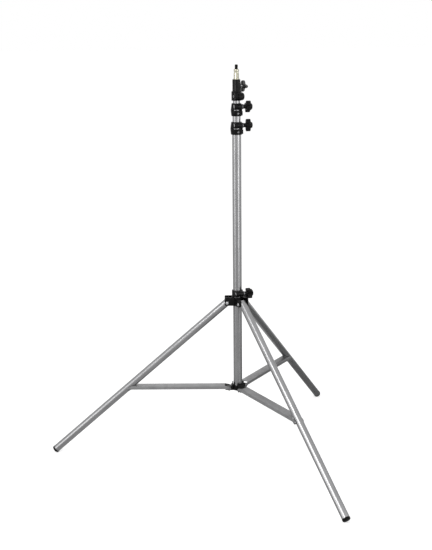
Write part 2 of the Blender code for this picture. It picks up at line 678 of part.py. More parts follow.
def make_clamp(name, tube_radius, riser_radius, axis, materials):
    """Clamp casting: sleeve on the outer tube, slit, and split ring round the riser."""
    top_bore = riser_radius + CLEARANCE
    sleeve_bore = tube_radius + CLEARANCE
    slit_low = CLAMP_SLEEVE
    slit_high = CLAMP_SLEEVE + CLAMP_SLIT
    waist = sleeve_bore + CLAMP_WAIST_WALL
    body = [
        (riser_radius / 2, 0.0),
        (sleeve_bore + CLAMP_BOTTOM_WALL, 0.0),
        (sleeve_bore + CLAMP_BOTTOM_WALL + 0.001, 0.002),
        (waist, slit_low - 0.002),
        (waist, slit_high + 0.001),
        (top_bore + CLAMP_TOP_WALL + 0.001, CLAMP_HEIGHT - 0.002),
        (top_bore + CLAMP_TOP_WALL, CLAMP_HEIGHT),
        (riser_radius / 2, CLAMP_HEIGHT),
    ]
    clamp = add_piece(name, turned(name, body, CASTING_SIDES), materials["casting"], axis)
    add_cross_boss(clamp, name, top_bore, CLAMP_BOSS_HEIGHT, axis, LANDING_DEPTH)
    pad_place = outward(-CLAMP_TURN, PAD_HEIGHT)
    pad = rod_profile(PAD_RADIUS, riser_radius / 2, sleeve_bore + PAD_REACH)
    combine(clamp, add_tool(f"{name}_pad", turned(name, pad, SMALL_SIDES, pad_place), axis), "UNION")
    step = slit_low + CLAMP_SLIT / 2
    bore = [
        (0.0, -OVERCUT),
        (sleeve_bore, -OVERCUT),
        (sleeve_bore, step),
        (top_bore, step),
        (top_bore, CLAMP_HEIGHT + OVERCUT),
        (0.0, CLAMP_HEIGHT + OVERCUT),
    ]
    combine(clamp, add_tool(f"{name}_bore", turned(name, bore, CASTING_SIDES), axis), "DIFFERENCE")
    cut_level_slit(clamp, name, slit_low, slit_high, 2 * waist, axis)
    cut_ring_slit(clamp, name, slit_low + CLAMP_SLIT / 4, CLAMP_HEIGHT + OVERCUT, 4 * waist, axis)
    cut_spot_faces(clamp, name, top_bore, CLAMP_BOSS_HEIGHT, axis)
    cut_bolt_hole(clamp, name, top_bore, CLAMP_BOSS_HEIGHT, axis)
    screw_place = outward(SCREW_AZIMUTH, SCREW_HEIGHT)
    hole = rod_profile(SCREW_RADIUS + CLEARANCE, riser_radius / 2, 2 * waist)
    tool = add_tool(f"{name}_screw_hole", turned(name, hole, SMALL_SIDES, screw_place), axis)
    combine(clamp, tool, "DIFFERENCE")
    seat = waist - SCREW_SEAT_DEPTH
    face = rod_profile(SCREW_HEAD_RADIUS + CLEARANCE, seat, 2 * waist)
    tool = add_tool(f"{name}_screw_face", turned(name, face, SMALL_SIDES, screw_place), axis)
    combine(clamp, tool, "DIFFERENCE")
    make_fixing_screw(f"{name}_screw", tube_radius, seat, screw_place, axis, materials)
    make_bolt_set(name, top_bore, CLAMP_BOSS_HEIGHT, axis, materials)


def make_fixing_screw(name, tube_radius, seat, place, axis, materials):
    """Button screw through the sleeve's wall, bearing on the tube."""
    head = seat + CLEARANCE
    profile = [
        (0.0, tube_radius + CLEARANCE),
        (SCREW_RADIUS, tube_radius + CLEARANCE),
        (SCREW_RADIUS, head),
        (SCREW_HEAD_RADIUS, head),
        (SCREW_HEAD_RADIUS, head + SCREW_HEAD_HEIGHT / 2),
        (SCREW_HEAD_RADIUS * 0.75, head + SCREW_HEAD_HEIGHT),
        (0.0, head + SCREW_HEAD_HEIGHT),
    ]
    add_piece(name, turned(name, profile, SMALL_SIDES, place), materials["steel"], axis)


def make_collar(materials, parent):
    axis = make_axis("leg_collar_axis", (0.0, 0.0, LEG_PIVOT_Z), parent=parent)
    bore = COLUMN_RADIUS + CLEARANCE
    spider = bore + COLLAR_SPIDER_WALL
    ring = bore + COLLAR_RING_WALL
    low = -COLLAR_BELOW_PIVOT
    body = [
        (COLUMN_RADIUS / 2, low),
        (spider - 0.001, low),
        (spider, low + 0.001),
        (spider, COLLAR_SPIDER_TOP + COLLAR_SLIT * 0.3),
        (ring, COLLAR_SPIDER_TOP + COLLAR_SLIT * 0.6),
        (ring, COLLAR_TOP - 0.0015),
        (ring - 0.0015, COLLAR_TOP),
        (COLUMN_RADIUS / 2, COLLAR_TOP),
    ]
    name = "leg_collar"
    collar = add_piece(name, turned(name, body, CASTING_SIDES), materials["casting"], axis)
    slot = LEG_RADIUS + FORK_SIDE_GAP
    outer = slot + FORK_CHEEK
    for number, azimuth in enumerate(LEG_AZIMUTHS, 1):
        turn = Matrix.Rotation(radians(azimuth), 4, "Z")
        fork = prism(name, fork_outline(), -outer, outer, turn @ side_on())
        combine(collar, add_tool(f"fork_{number}", fork, axis), "UNION")
    boss_axis = make_axis("leg_collar_boss_axis", (0.0, 0.0, 0.0), (0.0, 0.0, COLLAR_TURN), axis)
    add_cross_boss(collar, name, bore, COLLAR_BOSS_HEIGHT, boss_axis)
    hole = rod_profile(bore, low - OVERCUT, COLLAR_TOP + OVERCUT)
    combine(collar, add_tool("collar_bore", turned(name, hole, CASTING_SIDES), axis), "DIFFERENCE")
    far = LEG_PIVOT_RADIUS + 2 * FORK_REACH
    for number, azimuth in enumerate(LEG_AZIMUTHS, 1):
        turn = Matrix.Rotation(radians(azimuth), 4, "Z")
        gap_top = COLLAR_SPIDER_TOP + COLLAR_SLIT / 2
        gap = block(name, (spider, -slot, low - OVERCUT), (far, slot, gap_top), turn)
        combine(collar, add_tool(f"fork_gap_{number}", gap, axis), "DIFFERENCE")
        place = turn @ Matrix.Translation((LEG_PIVOT_RADIUS, 0.0, 0.0)) @ across_y()
        hole = rod_profile(HOLE_RADIUS, -outer - OVERCUT, outer + OVERCUT)
        tool = add_tool(f"fork_hole_{number}", turned(name, hole, RIVET_SIDES, place), axis)
        combine(collar, tool, "DIFFERENCE")
        make_pivot_heads(number, turn, outer, slot, axis, materials)
    slit = (COLLAR_SPIDER_TOP - CLEARANCE, COLLAR_SPIDER_TOP + COLLAR_SLIT)
    cut_level_slit(collar, name, *slit, 2 * ring, boss_axis)
    ring_top = COLLAR_TOP + OVERCUT
    cut_ring_slit(collar, name, COLLAR_SPIDER_TOP + COLLAR_SLIT / 2, ring_top, 2 * ring, boss_axis)
    cut_bolt_hole(collar, name, bore, COLLAR_BOSS_HEIGHT, boss_axis)
    make_bolt_set(name, bore, COLLAR_BOSS_HEIGHT, boss_axis, materials)


def make_pivot_heads(number, turn, outer, slot, axis, materials):
    """The two ends of a leg pivot, one in each cheek of its fork."""
    low = slot + CLEARANCE
    seat = outer + CLEARANCE
    profile = [
        (0.0, low),
        (RIVET_RADIUS, low),
        (RIVET_RADIUS, seat),
        (RIVET_HEAD_RADIUS, seat),
        (RIVET_HEAD_RADIUS * 0.8, seat + RIVET_HEAD_HEIGHT),
        (0.0, seat + RIVET_HEAD_HEIGHT),
    ]
    at_pivot = turn @ Matrix.Translation((LEG_PIVOT_RADIUS, 0.0, 0.0))
    sides = {"left": across_y(), "right": side_on()}
    for side, lay in sides.items():
        name = f"leg_pivot_head_{number}_{side}"
        mesh = turned(name, profile, RIVET_SIDES, at_pivot @ lay)
        add_piece(name, mesh, materials["rivet"], axis)


def make_riser(number, radius, bottom, top, materials, parent):
    """A riser tube and the guide plug in its lower end."""
    axis = make_axis(f"riser_{number}_axis", (0.0, 0.0, bottom), parent=parent)
    bore = radius - TUBE_WALL
    name = f"riser_{number}_tube"
    tube = ring_profile(bore, radius, 0.0, top - bottom)
    add_piece(name, turned(name, tube), materials["tube"], axis)
    stem = bore - CLEARANCE
    plug = [
        (stem / 2, -GUIDE_LIP),
        (radius, -GUIDE_LIP),
        (radius, -CLEARANCE),
        (stem, -CLEARANCE),
        (stem, GUIDE_DEPTH),
        (stem / 2, GUIDE_DEPTH),
    ]
    name = f"riser_{number}_guide"
    add_piece(name, turned(name, plug), materials["plastic"], axis)
    return axis


def make_top_socket(axis, materials):
    """Cup on riser 2, cross boss with a pinch bolt, and the spigot's socket above."""
    cup_bore = RISER_2_RADIUS + CLEARANCE
    cup = cup_bore + SOCKET_CUP_WALL
    spigot_bore = SPIGOT_RADIUS + CLEARANCE
    socket = spigot_bore + SOCKET_WALL
    shoulder = SOCKET_CUP_HEIGHT + SOCKET_SHOULDER
    body = [
        (0.0, 0.0),
        (cup - 0.001, 0.0),
        (cup, 0.001),
        (cup, SOCKET_CUP_HEIGHT),
        (socket, shoulder),
        (socket, SOCKET_HEIGHT - 0.001),
        (socket - 0.001, SOCKET_HEIGHT),
        (0.0, SOCKET_HEIGHT),
    ]
    name = "top_socket"
    casting = add_piece(name, turned(name, body, CASTING_SIDES), materials["casting"], axis)
    pinch_distance = cup_bore + PINCH_BOLT_RADIUS + TUBE_WALL
    place = Matrix.Translation((0.0, -pinch_distance, PINCH_BOSS_HEIGHT)) @ along_x()
    rounding = PINCH_BOSS_ROUNDING
    boss = [
        (0.0, -PINCH_BOSS_TAIL - LANDING_DEPTH),
        (PINCH_BOSS_RADIUS, -PINCH_BOSS_TAIL - LANDING_DEPTH),
        *arc(PINCH_BOSS_RADIUS - rounding, PINCH_BOSS_REACH - rounding, rounding, 0.0, 90.0, 4),
        (0.0, PINCH_BOSS_REACH),
    ]
    tool = add_tool("pinch_boss", turned(name, boss, SMALL_SIDES + 4, place), axis)
    combine(casting, tool, "UNION")
    spigot_place = outward(SPIGOT_KNOB_AZIMUTH - CLAMP_TURN, SPIGOT_KNOB_HEIGHT)
    spigot_boss = rod_profile(SPIGOT_BOSS_RADIUS, SPIGOT_RADIUS / 2, socket + SPIGOT_BOSS_REACH)
    tool = add_tool("spigot_boss", turned(name, spigot_boss, SMALL_SIDES, spigot_place), axis)
    combine(casting, tool, "UNION")
    low_bore = rod_profile(cup_bore, -OVERCUT, SOCKET_CUP_HEIGHT - SOCKET_SHOULDER)
    tool = add_tool("cup_bore", turned(name, low_bore, CASTING_SIDES), axis)
    combine(casting, tool, "DIFFERENCE")
    floor = SOCKET_HEIGHT - SPIGOT_DEPTH - CLEARANCE
    high_bore = rod_profile(spigot_bore, floor, SOCKET_HEIGHT + OVERCUT)
    tool = add_tool("spigot_bore", turned(name, high_bore, CASTING_SIDES), axis)
    combine(casting, tool, "DIFFERENCE")
    cut_ring_slit(casting, name, -OVERCUT, SOCKET_CUP_HEIGHT - 2 * SOCKET_SHOULDER, 2 * cup, axis)
    hole = rod_profile(PINCH_BOLT_RADIUS + CLEARANCE, -2 * PINCH_BOSS_TAIL, PINCH_BOSS_TAIL + CLEARANCE)
    tool = add_tool("pinch_hole", turned(name, hole, SMALL_SIDES, place), axis)
    combine(casting, tool, "DIFFERENCE")
    corner = PINCH_HEAD_FLATS / 2 / cos(pi / 6) + 2 * CLEARANCE
    low = (-2 * cup, -pinch_distance - 2 * corner, PINCH_BOSS_HEIGHT - corner)
    high = (-PINCH_BOSS_TAIL, -pinch_distance + corner, PINCH_BOSS_HEIGHT + corner)
    combine(casting, add_tool("pinch_face", block(name, low, high), axis), "DIFFERENCE")
    hole = rod_profile(HOLE_RADIUS, 0.0, 2 * socket + SPIGOT_BOSS_REACH)
    tool = add_tool("spigot_screw_hole", turned(name, hole, SMALL_SIDES, spigot_place), axis)
    combine(casting, tool, "DIFFERENCE")
    seat = -PINCH_BOSS_TAIL - CLEARANCE
    shank = rod_profile(PINCH_BOLT_RADIUS, seat - CLEARANCE, PINCH_BOSS_TAIL)
    bolt_mesh = turned(name, shank, SMALL_SIDES, place)
    bolt = add_piece("top_socket_bolt", bolt_mesh, materials["steel"], axis)
    head = prism(name, hexagon(PINCH_HEAD_FLATS), seat - PINCH_HEAD_HEIGHT, seat, place)
    combine(bolt, add_tool("pinch_bolt_head", head, axis), "UNION")


def make_spigot(axis, materials):
    foot = SOCKET_HEIGHT - SPIGOT_DEPTH
    top = SOCKET_HEIGHT + SPIGOT_HEIGHT
    seat = SOCKET_HEIGHT + CLEARANCE
    collar = seat + SPIGOT_COLLAR_HEIGHT
    waist_top = top - SPIGOT_WAIST_DROP
    waist_low = waist_top - SPIGOT_WAIST_HEIGHT
    slope = SPIGOT_RADIUS - SPIGOT_WAIST_RADIUS
    body = [
        (0.0, foot),
        (SPIGOT_RADIUS - slope, foot),
        (SPIGOT_RADIUS, foot + slope),
        (SPIGOT_RADIUS, seat),
        (SPIGOT_COLLAR_RADIUS, seat),
        (SPIGOT_COLLAR_RADIUS, collar),
        (SPIGOT_RADIUS, collar + slope),
        (SPIGOT_RADIUS, waist_low - slope),
        (SPIGOT_WAIST_RADIUS, waist_low),
        (SPIGOT_WAIST_RADIUS, waist_top),
        (SPIGOT_RADIUS, waist_top + slope),
        (SPIGOT_RADIUS, top - slope / 2),
        (SPIGOT_RADIUS - slope / 2, top),
        (TIP_RADIUS + CLEARANCE, top),
        (TIP_RADIUS + CLEARANCE, top - TIP_DEPTH),
        (0.0, top - TIP_DEPTH),
    ]
    add_piece("spigot", turned("spigot", body), materials["brass"], axis)
    low = top - TIP_DEPTH + CLEARANCE
    tip = [
        (0.0, low),
        (TIP_RADIUS, low),
        (TIP_RADIUS, top + TIP_HEIGHT - TIP_DOME),
        (TIP_RADIUS * 0.7, top + TIP_HEIGHT - TIP_DOME * 0.25),
        (0.0, top + TIP_HEIGHT),
    ]
    add_piece("spigot_tip", turned("spigot_tip", tip, SMALL_SIDES + 4), materials["thread"], axis)


def make_spigot_knob(axis, materials):
    """Thumb screw of the socket: a screw, a plated collar on it and a star knob on its end."""
    socket = SPIGOT_RADIUS + CLEARANCE + SOCKET_WALL
    azimuth = SPIGOT_KNOB_AZIMUTH - CLAMP_TURN
    knob_axis = make_axis("spigot_knob_axis", (0.0, 0.0, SPIGOT_KNOB_HEIGHT), (0.0, pi / 2, azimuth), axis)
    base = socket + SPIGOT_BOSS_REACH + CLEARANCE
    star = base + SPIGOT_KNOB_NECK
    end = star + SPIGOT_KNOB_THICKNESS * 0.7
    screw = rod_profile(RIVET_RADIUS, SPIGOT_RADIUS + CLEARANCE, end)
    add_piece("spigot_screw", turned("spigot_screw", screw, SMALL_SIDES), materials["steel"], knob_axis)
    neck = ring_profile(HOLE_RADIUS, SPIGOT_KNOB_NECK_RADIUS, base, star - CLEARANCE)
    name = "spigot_knob_collar"
    add_piece(name, turned(name, neck, SMALL_SIDES + 4), materials["steel"], knob_axis)
    size = (SPIGOT_KNOB_RADIUS, SPIGOT_KNOB_ROOT, 0.0, 0.0, SPIGOT_KNOB_THICKNESS, SPIGOT_KNOB_CROWN)
    knob = star_knob("spigot_knob", star, *size, SPIGOT_KNOB_PHASE)
    piece = add_piece("spigot_knob", knob, materials["knob"], knob_axis)
    bore = rod_profile(HOLE_RADIUS, star - OVERCUT, end + CLEARANCE)
    tool = add_tool("spigot_knob_bore", turned("spigot_knob_bore", bore, SMALL_SIDES), knob_axis)
    combine(piece, tool, "DIFFERENCE")


def make_materials():
    return {
        "tube": make_material("satin_aluminium_tube", (0.60, 0.60, 0.61), 0.32, 1.0),
        "brace": make_material("plated_steel_brace", (0.42, 0.42, 0.43), 0.40, 1.0),
        "casting": make_material("black_casting", (0.012, 0.012, 0.013), 0.30, 0.0),
        "knob": make_material("black_knob", (0.010, 0.010, 0.010), 0.28, 0.0),
        "plastic": make_material("black_plastic", (0.015, 0.015, 0.015), 0.50, 0.0),
        "rubber": make_material("black_foot", (0.015, 0.015, 0.015), 0.60, 0.0),
        "steel": make_material("bright_steel", (0.70, 0.70, 0.71), 0.22, 1.0),
        "rivet": make_material("rivet_steel", (0.40, 0.40, 0.41), 0.35, 1.0),
        "brass": make_material("pale_brass", (0.66, 0.63, 0.50), 0.25, 1.0),
        "thread": make_material("black_thread", (0.020, 0.020, 0.020), 0.35, 0.6),
    }


def main():
    clear_scene()
    materials = make_materials()
    stand = make_axis("stand_axis", (AXIS_X, 0.0, 0.0))
    make_column(materials, stand)
    make_hub(materials, stand)
    make_braces(materials, stand)
    make_legs(materials, stand)
    make_collar(materials, stand)
    turned_frame = (0.0, 0.0, CLAMP_TURN)
    column_frame = make_axis("column_clamp_axis", (0.0, 0.0, COLUMN_CLAMP_Z), turned_frame, stand)
    make_clamp("column_clamp", COLUMN_RADIUS, RISER_1_RADIUS, column_frame, materials)
    riser_frame = make_axis("riser_clamp_axis", (0.0, 0.0, RISER_CLAMP_Z), turned_frame, stand)
    make_clamp("riser_clamp", RISER_1_RADIUS, RISER_2_RADIUS, riser_frame, materials)
    make_riser(1, RISER_1_RADIUS, RISER_1_BOTTOM_Z, RISER_1_TOP_Z, materials, stand)
    make_riser(2, RISER_2_RADIUS, RISER_2_BOTTOM_Z, RISER_2_TOP_Z, materials, stand)
    socket_frame = make_axis("top_socket_axis", (0.0, 0.0, SOCKET_Z), turned_frame, stand)
    make_top_socket(socket_frame, materials)
    make_spigot(socket_frame, materials)
    make_spigot_knob(socket_frame, materials)


main()
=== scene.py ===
"""Dresses the folding light stand: tubes, castings, knobs, braces, feet and spigot."""
from math import atan2, cos, degrees, pi, radians, sin

import bmesh
import bpy
from mathutils import Matrix, Vector


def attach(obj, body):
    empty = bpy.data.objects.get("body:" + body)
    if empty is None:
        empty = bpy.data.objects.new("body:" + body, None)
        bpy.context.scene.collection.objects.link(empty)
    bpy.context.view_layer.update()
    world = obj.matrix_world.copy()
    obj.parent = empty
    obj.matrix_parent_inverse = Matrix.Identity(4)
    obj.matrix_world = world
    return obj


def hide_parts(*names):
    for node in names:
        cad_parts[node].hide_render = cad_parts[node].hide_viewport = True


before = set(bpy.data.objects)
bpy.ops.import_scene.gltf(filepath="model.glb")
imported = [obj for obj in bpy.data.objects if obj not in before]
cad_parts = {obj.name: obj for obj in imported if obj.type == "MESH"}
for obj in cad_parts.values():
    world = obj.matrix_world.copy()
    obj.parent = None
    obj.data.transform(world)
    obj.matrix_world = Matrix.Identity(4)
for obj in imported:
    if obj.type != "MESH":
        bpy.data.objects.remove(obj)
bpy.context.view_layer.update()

MM = 0.001

# Places in the frame, in metres, and turns
COLUMN = Matrix.Translation((0.149764, 0.0, 0.0))
LEG_AZIMUTHS = (180.0, -60.0, 60.0)
LEG_LEAN = radians(48.75)
LEG_PIVOT_Z = 510.096 * MM
HUB_PIN_Z = 221.592 * MM
COLUMN_CLAMP_Z = 1043.792 * MM
RISER_CLAMP_Z = 1100.392 * MM
SOCKET_Z = 1147.592 * MM
CLAMP_TURN = radians(14.0)
COLLAR_TURN = radians(18.0)

# Sizes that pieces share, in millimetres. FIT is the gap between neighbours, and
# PAST is how far a cutting tool runs out past the piece it cuts.
FIT = 0.3
COLUMN_RADIUS = 14.0
RISER_1_RADIUS = 12.5
RISER_2_RADIUS = 11.0
LEG_RADIUS = 12.0
TUBE_WALL = 1.2
COLUMN_BORE = COLUMN_RADIUS + FIT
RISER_1_BORE = RISER_1_RADIUS + FIT
RISER_2_BORE = RISER_2_RADIUS + FIT
PIN_RADIUS = 3.0
PIN_HOLE = PIN_RADIUS + FIT
HUB_PIN_REACH = 29.0
COLLAR_PIN_REACH = 33.0
BRACE_LENGTH = 326.909
BRACE_TO_TOP_PIN = 433.0
LEG_SIDESTEP = 4.0
TUBE_SIDES = 72
KNOB_SIDES = 96
PAST = 20.0


# Workshop: how a piece is started, shaped and handed over

def put_down():
    """Leaves edit mode and lets go of everything."""
    if bpy.context.object is not None and bpy.context.object.mode != "OBJECT":
        bpy.ops.object.mode_set(mode="OBJECT")
    bpy.ops.object.select_all(action="DESELECT")


def put_away(*pieces):
    """Removes pieces that are used up, or that others were copied from."""
    for piece in pieces:
        bpy.data.objects.remove(piece, do_unlink=True)


def pick_up(piece):
    """Makes one piece the only one in hand."""
    put_down()
    piece.select_set(True)
    bpy.context.view_layer.objects.active = piece


def turn(name, rings, sides=64):
    """A circle drawn up ring by ring; rings are (radius, height) in millimetres."""
    put_down()
    radius, height = rings[0]
    bpy.ops.mesh.primitive_circle_add(vertices=sides, radius=radius * MM)
    piece = bpy.context.object
    piece.name = name
    piece.data.name = name
    bpy.ops.object.mode_set(mode="EDIT")
    bpy.ops.mesh.select_all(action="SELECT")
    bpy.ops.transform.translate(value=(0.0, 0.0, height * MM))
    for wide, high in rings[1:]:
        rise = (high - height) * MM
        bpy.ops.mesh.extrude_edges_move(TRANSFORM_OT_translate={"value": (0.0, 0.0, rise)})
        if wide != radius:
            scale = wide / radius
            bpy.ops.transform.resize(value=(scale, scale, 1.0), center_override=(0.0, 0.0, high * MM))
        radius, height = wide, high
    bpy.ops.mesh.select_all(action="SELECT")
    bpy.ops.mesh.remove_doubles(threshold=1e-6)
    bpy.ops.mesh.fill_holes(sides=0)
    bpy.ops.mesh.normals_make_consistent(inside=False)
    bpy.ops.object.mode_set(mode="OBJECT")
    return piece


def arc(across, up, radius, start, sweep, steps):
    """Points round a centre, from a start angle on through a sweep, in degrees."""
    points = []
    for step in range(steps + 1):
        lean = radians(start + sweep / steps * step)
        points.append((across + radius * cos(lean), up + radius * sin(lean)))
    return points


def rolled_rim(radius, low, high, edge):
    """Side view of a round piece whose two rims are rolled over by edge."""
    foot = arc(radius - edge, low + edge, edge, -90.0, 90.0, 4)
    return foot + arc(radius - edge, high - edge, edge, 0.0, 90.0, 4)


def rod(name, radius, low, high, sides=48, edge=0.0):
    """A round bar from low to high, square at its ends or rolled over by edge."""
    rings = rolled_rim(radius, low, high, edge) if edge > 0.0 else [(radius, low), (radius, high)]
    return turn(name, rings, sides)


def bar(name, low, high):
    """A square-edged block between two corners, in millimetres."""
    put_down()
    bpy.ops.mesh.primitive_cube_add(size=1.0)
    piece = bpy.context.object
    piece.name = name
    piece.data.name = name
    bpy.ops.object.mode_set(mode="EDIT")
    bpy.ops.mesh.select_all(action="SELECT")
    size = [(b - a) * MM for a, b in zip(low, high)]
    middle = [(a + b) / 2 * MM for a, b in zip(low, high)]
    bpy.ops.transform.resize(value=size, center_override=(0.0, 0.0, 0.0))
    bpy.ops.transform.translate(value=middle)
    bpy.ops.object.mode_set(mode="OBJECT")
    return piece


def plate(name, outline, low, high):
    """A flat outline drawn point by point in the XZ plane, then pulled out along Y."""
    put_down()
    bpy.ops.mesh.primitive_plane_add(size=0.001)
    piece = bpy.context.object
    piece.name = name
    piece.data.name = name
    bpy.ops.object.mode_set(mode="EDIT")
    bpy.ops.mesh.select_all(action="SELECT")
    bpy.ops.mesh.merge(type="CENTER")
    across, up = outline[0]
    bpy.ops.transform.translate(value=(across * MM, low * MM, up * MM))
    for there, higher in outline[1:]:
        step = ((there - across) * MM, 0.0, (higher - up) * MM)
        bpy.ops.mesh.extrude_vertices_move(TRANSFORM_OT_translate={"value": step})
        across, up = there, higher
    bpy.ops.mesh.select_all(action="SELECT")
    bpy.ops.mesh.edge_face_add()
    bpy.ops.mesh.extrude_region_move(TRANSFORM_OT_translate={"value": (0.0, (high - low) * MM, 0.0)})
    bpy.ops.mesh.select_all(action="SELECT")
    bpy.ops.mesh.normals_make_consistent(inside=False)
    bpy.ops.object.mode_set(mode="OBJECT")
    return piece


def round_edges(piece, width, wanted, segments=4):
    """Bevels the edges whose middle point and direction pass the test."""
    pick_up(piece)
    bpy.ops.object.mode_set(mode="EDIT")
    bpy.ops.mesh.select_mode(type="EDGE")
    bpy.ops.mesh.select_all(action="DESELECT")
    shape = bmesh.from_edit_mesh(piece.data)
    for edge in shape.edges:
        start, end = (corner.co / MM for corner in edge.verts)
        if wanted((start + end) / 2, (end - start).normalized()):
            edge.select_set(True)
    bmesh.update_edit_mesh(piece.data)
    bpy.ops.mesh.bevel(offset=width * MM, segments=segments, affect="EDGES")
    bpy.ops.mesh.select_mode(type="VERT")
    bpy.ops.object.mode_set(mode="OBJECT")


def slice_off(piece, point, normal):
    """Cuts a piece flat and closes the cut; what lies along the normal goes."""
    pick_up(piece)
    bpy.ops.object.mode_set(mode="EDIT")
    bpy.ops.mesh.select_all(action="SELECT")
    spot = [value * MM for value in point]
    bpy.ops.mesh.bisect(plane_co=spot, plane_no=normal, use_fill=True, clear_outer=True, threshold=1e-6)
    bpy.ops.object.mode_set(mode="OBJECT")


def lay(piece, place):
    """Moves a piece to its place and leaves its own origin at the frame's."""
    pick_up(piece)
    piece.matrix_world = place @ piece.matrix_world
    bpy.ops.object.transform_apply(location=True, rotation=True, scale=True)
    return piece


def join_solids(piece, tool, operation):
    """Adds a tool piece to another or takes it away, and uses the tool up."""
    cut = piece.modifiers.new("shape", "BOOLEAN")
    cut.operation = operation
    cut.solver = "EXACT"
    cut.object = tool
    pick_up(piece)
    bpy.ops.object.modifier_apply(modifier=cut.name)
    put_away(tool)
    bpy.ops.object.mode_set(mode="EDIT")
    bpy.ops.mesh.select_all(action="SELECT")
    bpy.ops.mesh.remove_doubles(threshold=3e-6)
    bpy.ops.object.mode_set(mode="OBJECT")
    return piece


def weld(piece, tool):
    return join_solids(piece, tool, "UNION")


def carve(piece, tool):
    return join_solids(piece, tool, "DIFFERENCE")


def copy_of(piece, name):
    """A second piece of the same shape, under its own name."""
    twin = piece.copy()
    twin.data = piece.data.copy()
    twin.name = name
    twin.data.name = name
    bpy.context.scene.collection.objects.link(twin)
    return twin


def hand_over(piece, node, body, finish, angle=38.0):
    """Smooths and coats a finished piece, and puts it in its node's place."""
    pick_up(piece)
    bpy.ops.object.shade_smooth_by_angle(angle=radians(angle))
    piece.data.materials.clear()
    piece.data.materials.append(finish)
    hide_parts(node)
    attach(piece, body)
    put_down()


def turned(angle):
    """A turn about the upright axis."""
    return Matrix.Rotation(angle, 4, "Z")


def raised(height):
    """A lift, in metres."""
    return Matrix.Translation((0.0, 0.0, height))


def outward(reach):
    """A shift along X, in millimetres."""
    return Matrix.Translation((reach * MM, 0.0, 0.0))


def across_y(x=0.0, z=0.0):
    """Lays a turned piece's axis along Y, through a point of the XZ plane."""
    return Matrix.Translation((x * MM, 0.0, z * MM)) @ Matrix.Rotation(-pi / 2, 4, "X")


def along_x(y=0.0, z=0.0):
    """Lays a turned piece's axis along X."""
    return Matrix.Translation((0.0, y * MM, z * MM)) @ Matrix.Rotation(pi / 2, 4, "Y")


def radial(azimuth, z):
    """Lays a turned piece's axis outward from the column, at a height."""
    return raised(z * MM) @ turned(azimuth) @ Matrix.Rotation(pi / 2, 4, "Y")


# Finishes

DULL_GLOSS = 0.12
GRAIN_MIDDLE = (0.3, 0.7)


def start_finish(name):
    """An empty finish whose surface is one general-purpose shader."""
    material = bpy.data.materials.new(name)
    material.use_nodes = True
    nodes = material.node_tree.nodes
    nodes.clear()
    output = nodes.new("ShaderNodeOutputMaterial")
    shader = nodes.new("ShaderNodeBsdfPrincipled")
    material.node_tree.links.new(shader.outputs["BSDF"], output.inputs["Surface"])
    return material, nodes, material.node_tree.links, shader


def pattern_space(nodes, links, scale, rotation=(0.0, 0.0, 0.0)):
    """Object coordinates, turned to a piece's own direction and stretched."""
    coordinates = nodes.new("ShaderNodeTexCoord")
    rotated = nodes.new("ShaderNodeMapping")
    rotated.vector_type = "TEXTURE"
    rotated.inputs["Rotation"].default_value = rotation
    stretched = nodes.new("ShaderNodeMapping")
    stretched.inputs["Scale"].default_value = scale
    links.new(coordinates.outputs["Object"], rotated.inputs["Vector"])
    links.new(rotated.outputs["Vector"], stretched.inputs["Vector"])
    return stretched.outputs["Vector"]


def noise(nodes, links, vector, scale, detail=4.0, roughness=0.55):
    """A cloudy pattern; the larger its scale, the finer it is."""
    texture = nodes.new("ShaderNodeTexNoise")
    texture.inputs["Scale"].default_value = scale
    texture.inputs["Detail"].default_value = detail
    texture.inputs["Roughness"].default_value = roughness
    links.new(vector, texture.inputs["Vector"])
    return texture.outputs["Fac"]


def spread(nodes, links, value, low, high):
    """Maps a pattern's middle range onto low..high."""
    ranged = nodes.new("ShaderNodeMapRange")
    ranged.inputs["From Min"].default_value = GRAIN_MIDDLE[0]
    ranged.inputs["From Max"].default_value = GRAIN_MIDDLE[1]
    ranged.inputs["To Min"].default_value = low
    ranged.inputs["To Max"].default_value = high
    links.new(value, ranged.inputs["Value"])
    return ranged.outputs["Result"]


def tint(nodes, links, value, dark, light):
    """Colours a pattern's middle range from dark to light."""
    ramp = nodes.new("ShaderNodeValToRGB")
    for stop, place, colour in zip(ramp.color_ramp.elements, GRAIN_MIDDLE, (dark, light)):
        stop.position = place
        stop.color = (*colour, 1.0)
    links.new(value, ramp.inputs["Fac"])
    return ramp.outputs["Color"]


def relief(nodes, links, value, strength, depth):
    """Turns a pattern into fine hills and dips; the depth is in metres."""
    bump = nodes.new("ShaderNodeBump")
    bump.inputs["Strength"].default_value = strength
    bump.inputs["Distance"].default_value = depth
    links.new(value, bump.inputs["Height"])
    return bump.outputs["Normal"]


def drawn_tube_finish(name, rotation, dark, light):
    """Drawn and anodised aluminium: fine grain along the tube, faint handling marks."""
    material, nodes, links, shader = start_finish(name)
    along = pattern_space(nodes, links, (1.0, 1.0, 0.012), rotation)
    cloudy = pattern_space(nodes, links, (1.0, 1.0, 0.25), rotation)
    grain = noise(nodes, links, along, 2600.0, 3.0)
    marks = noise(nodes, links, cloudy, 60.0, 5.0, 0.6)
    links.new(tint(nodes, links, marks, dark, light), shader.inputs["Base Color"])
    links.new(spread(nodes, links, grain, 0.24, 0.33), shader.inputs["Roughness"])
    links.new(relief(nodes, links, grain, 0.06, 0.00005), shader.inputs["Normal"])
    shader.inputs["Metallic"].default_value = 1.0
    return material


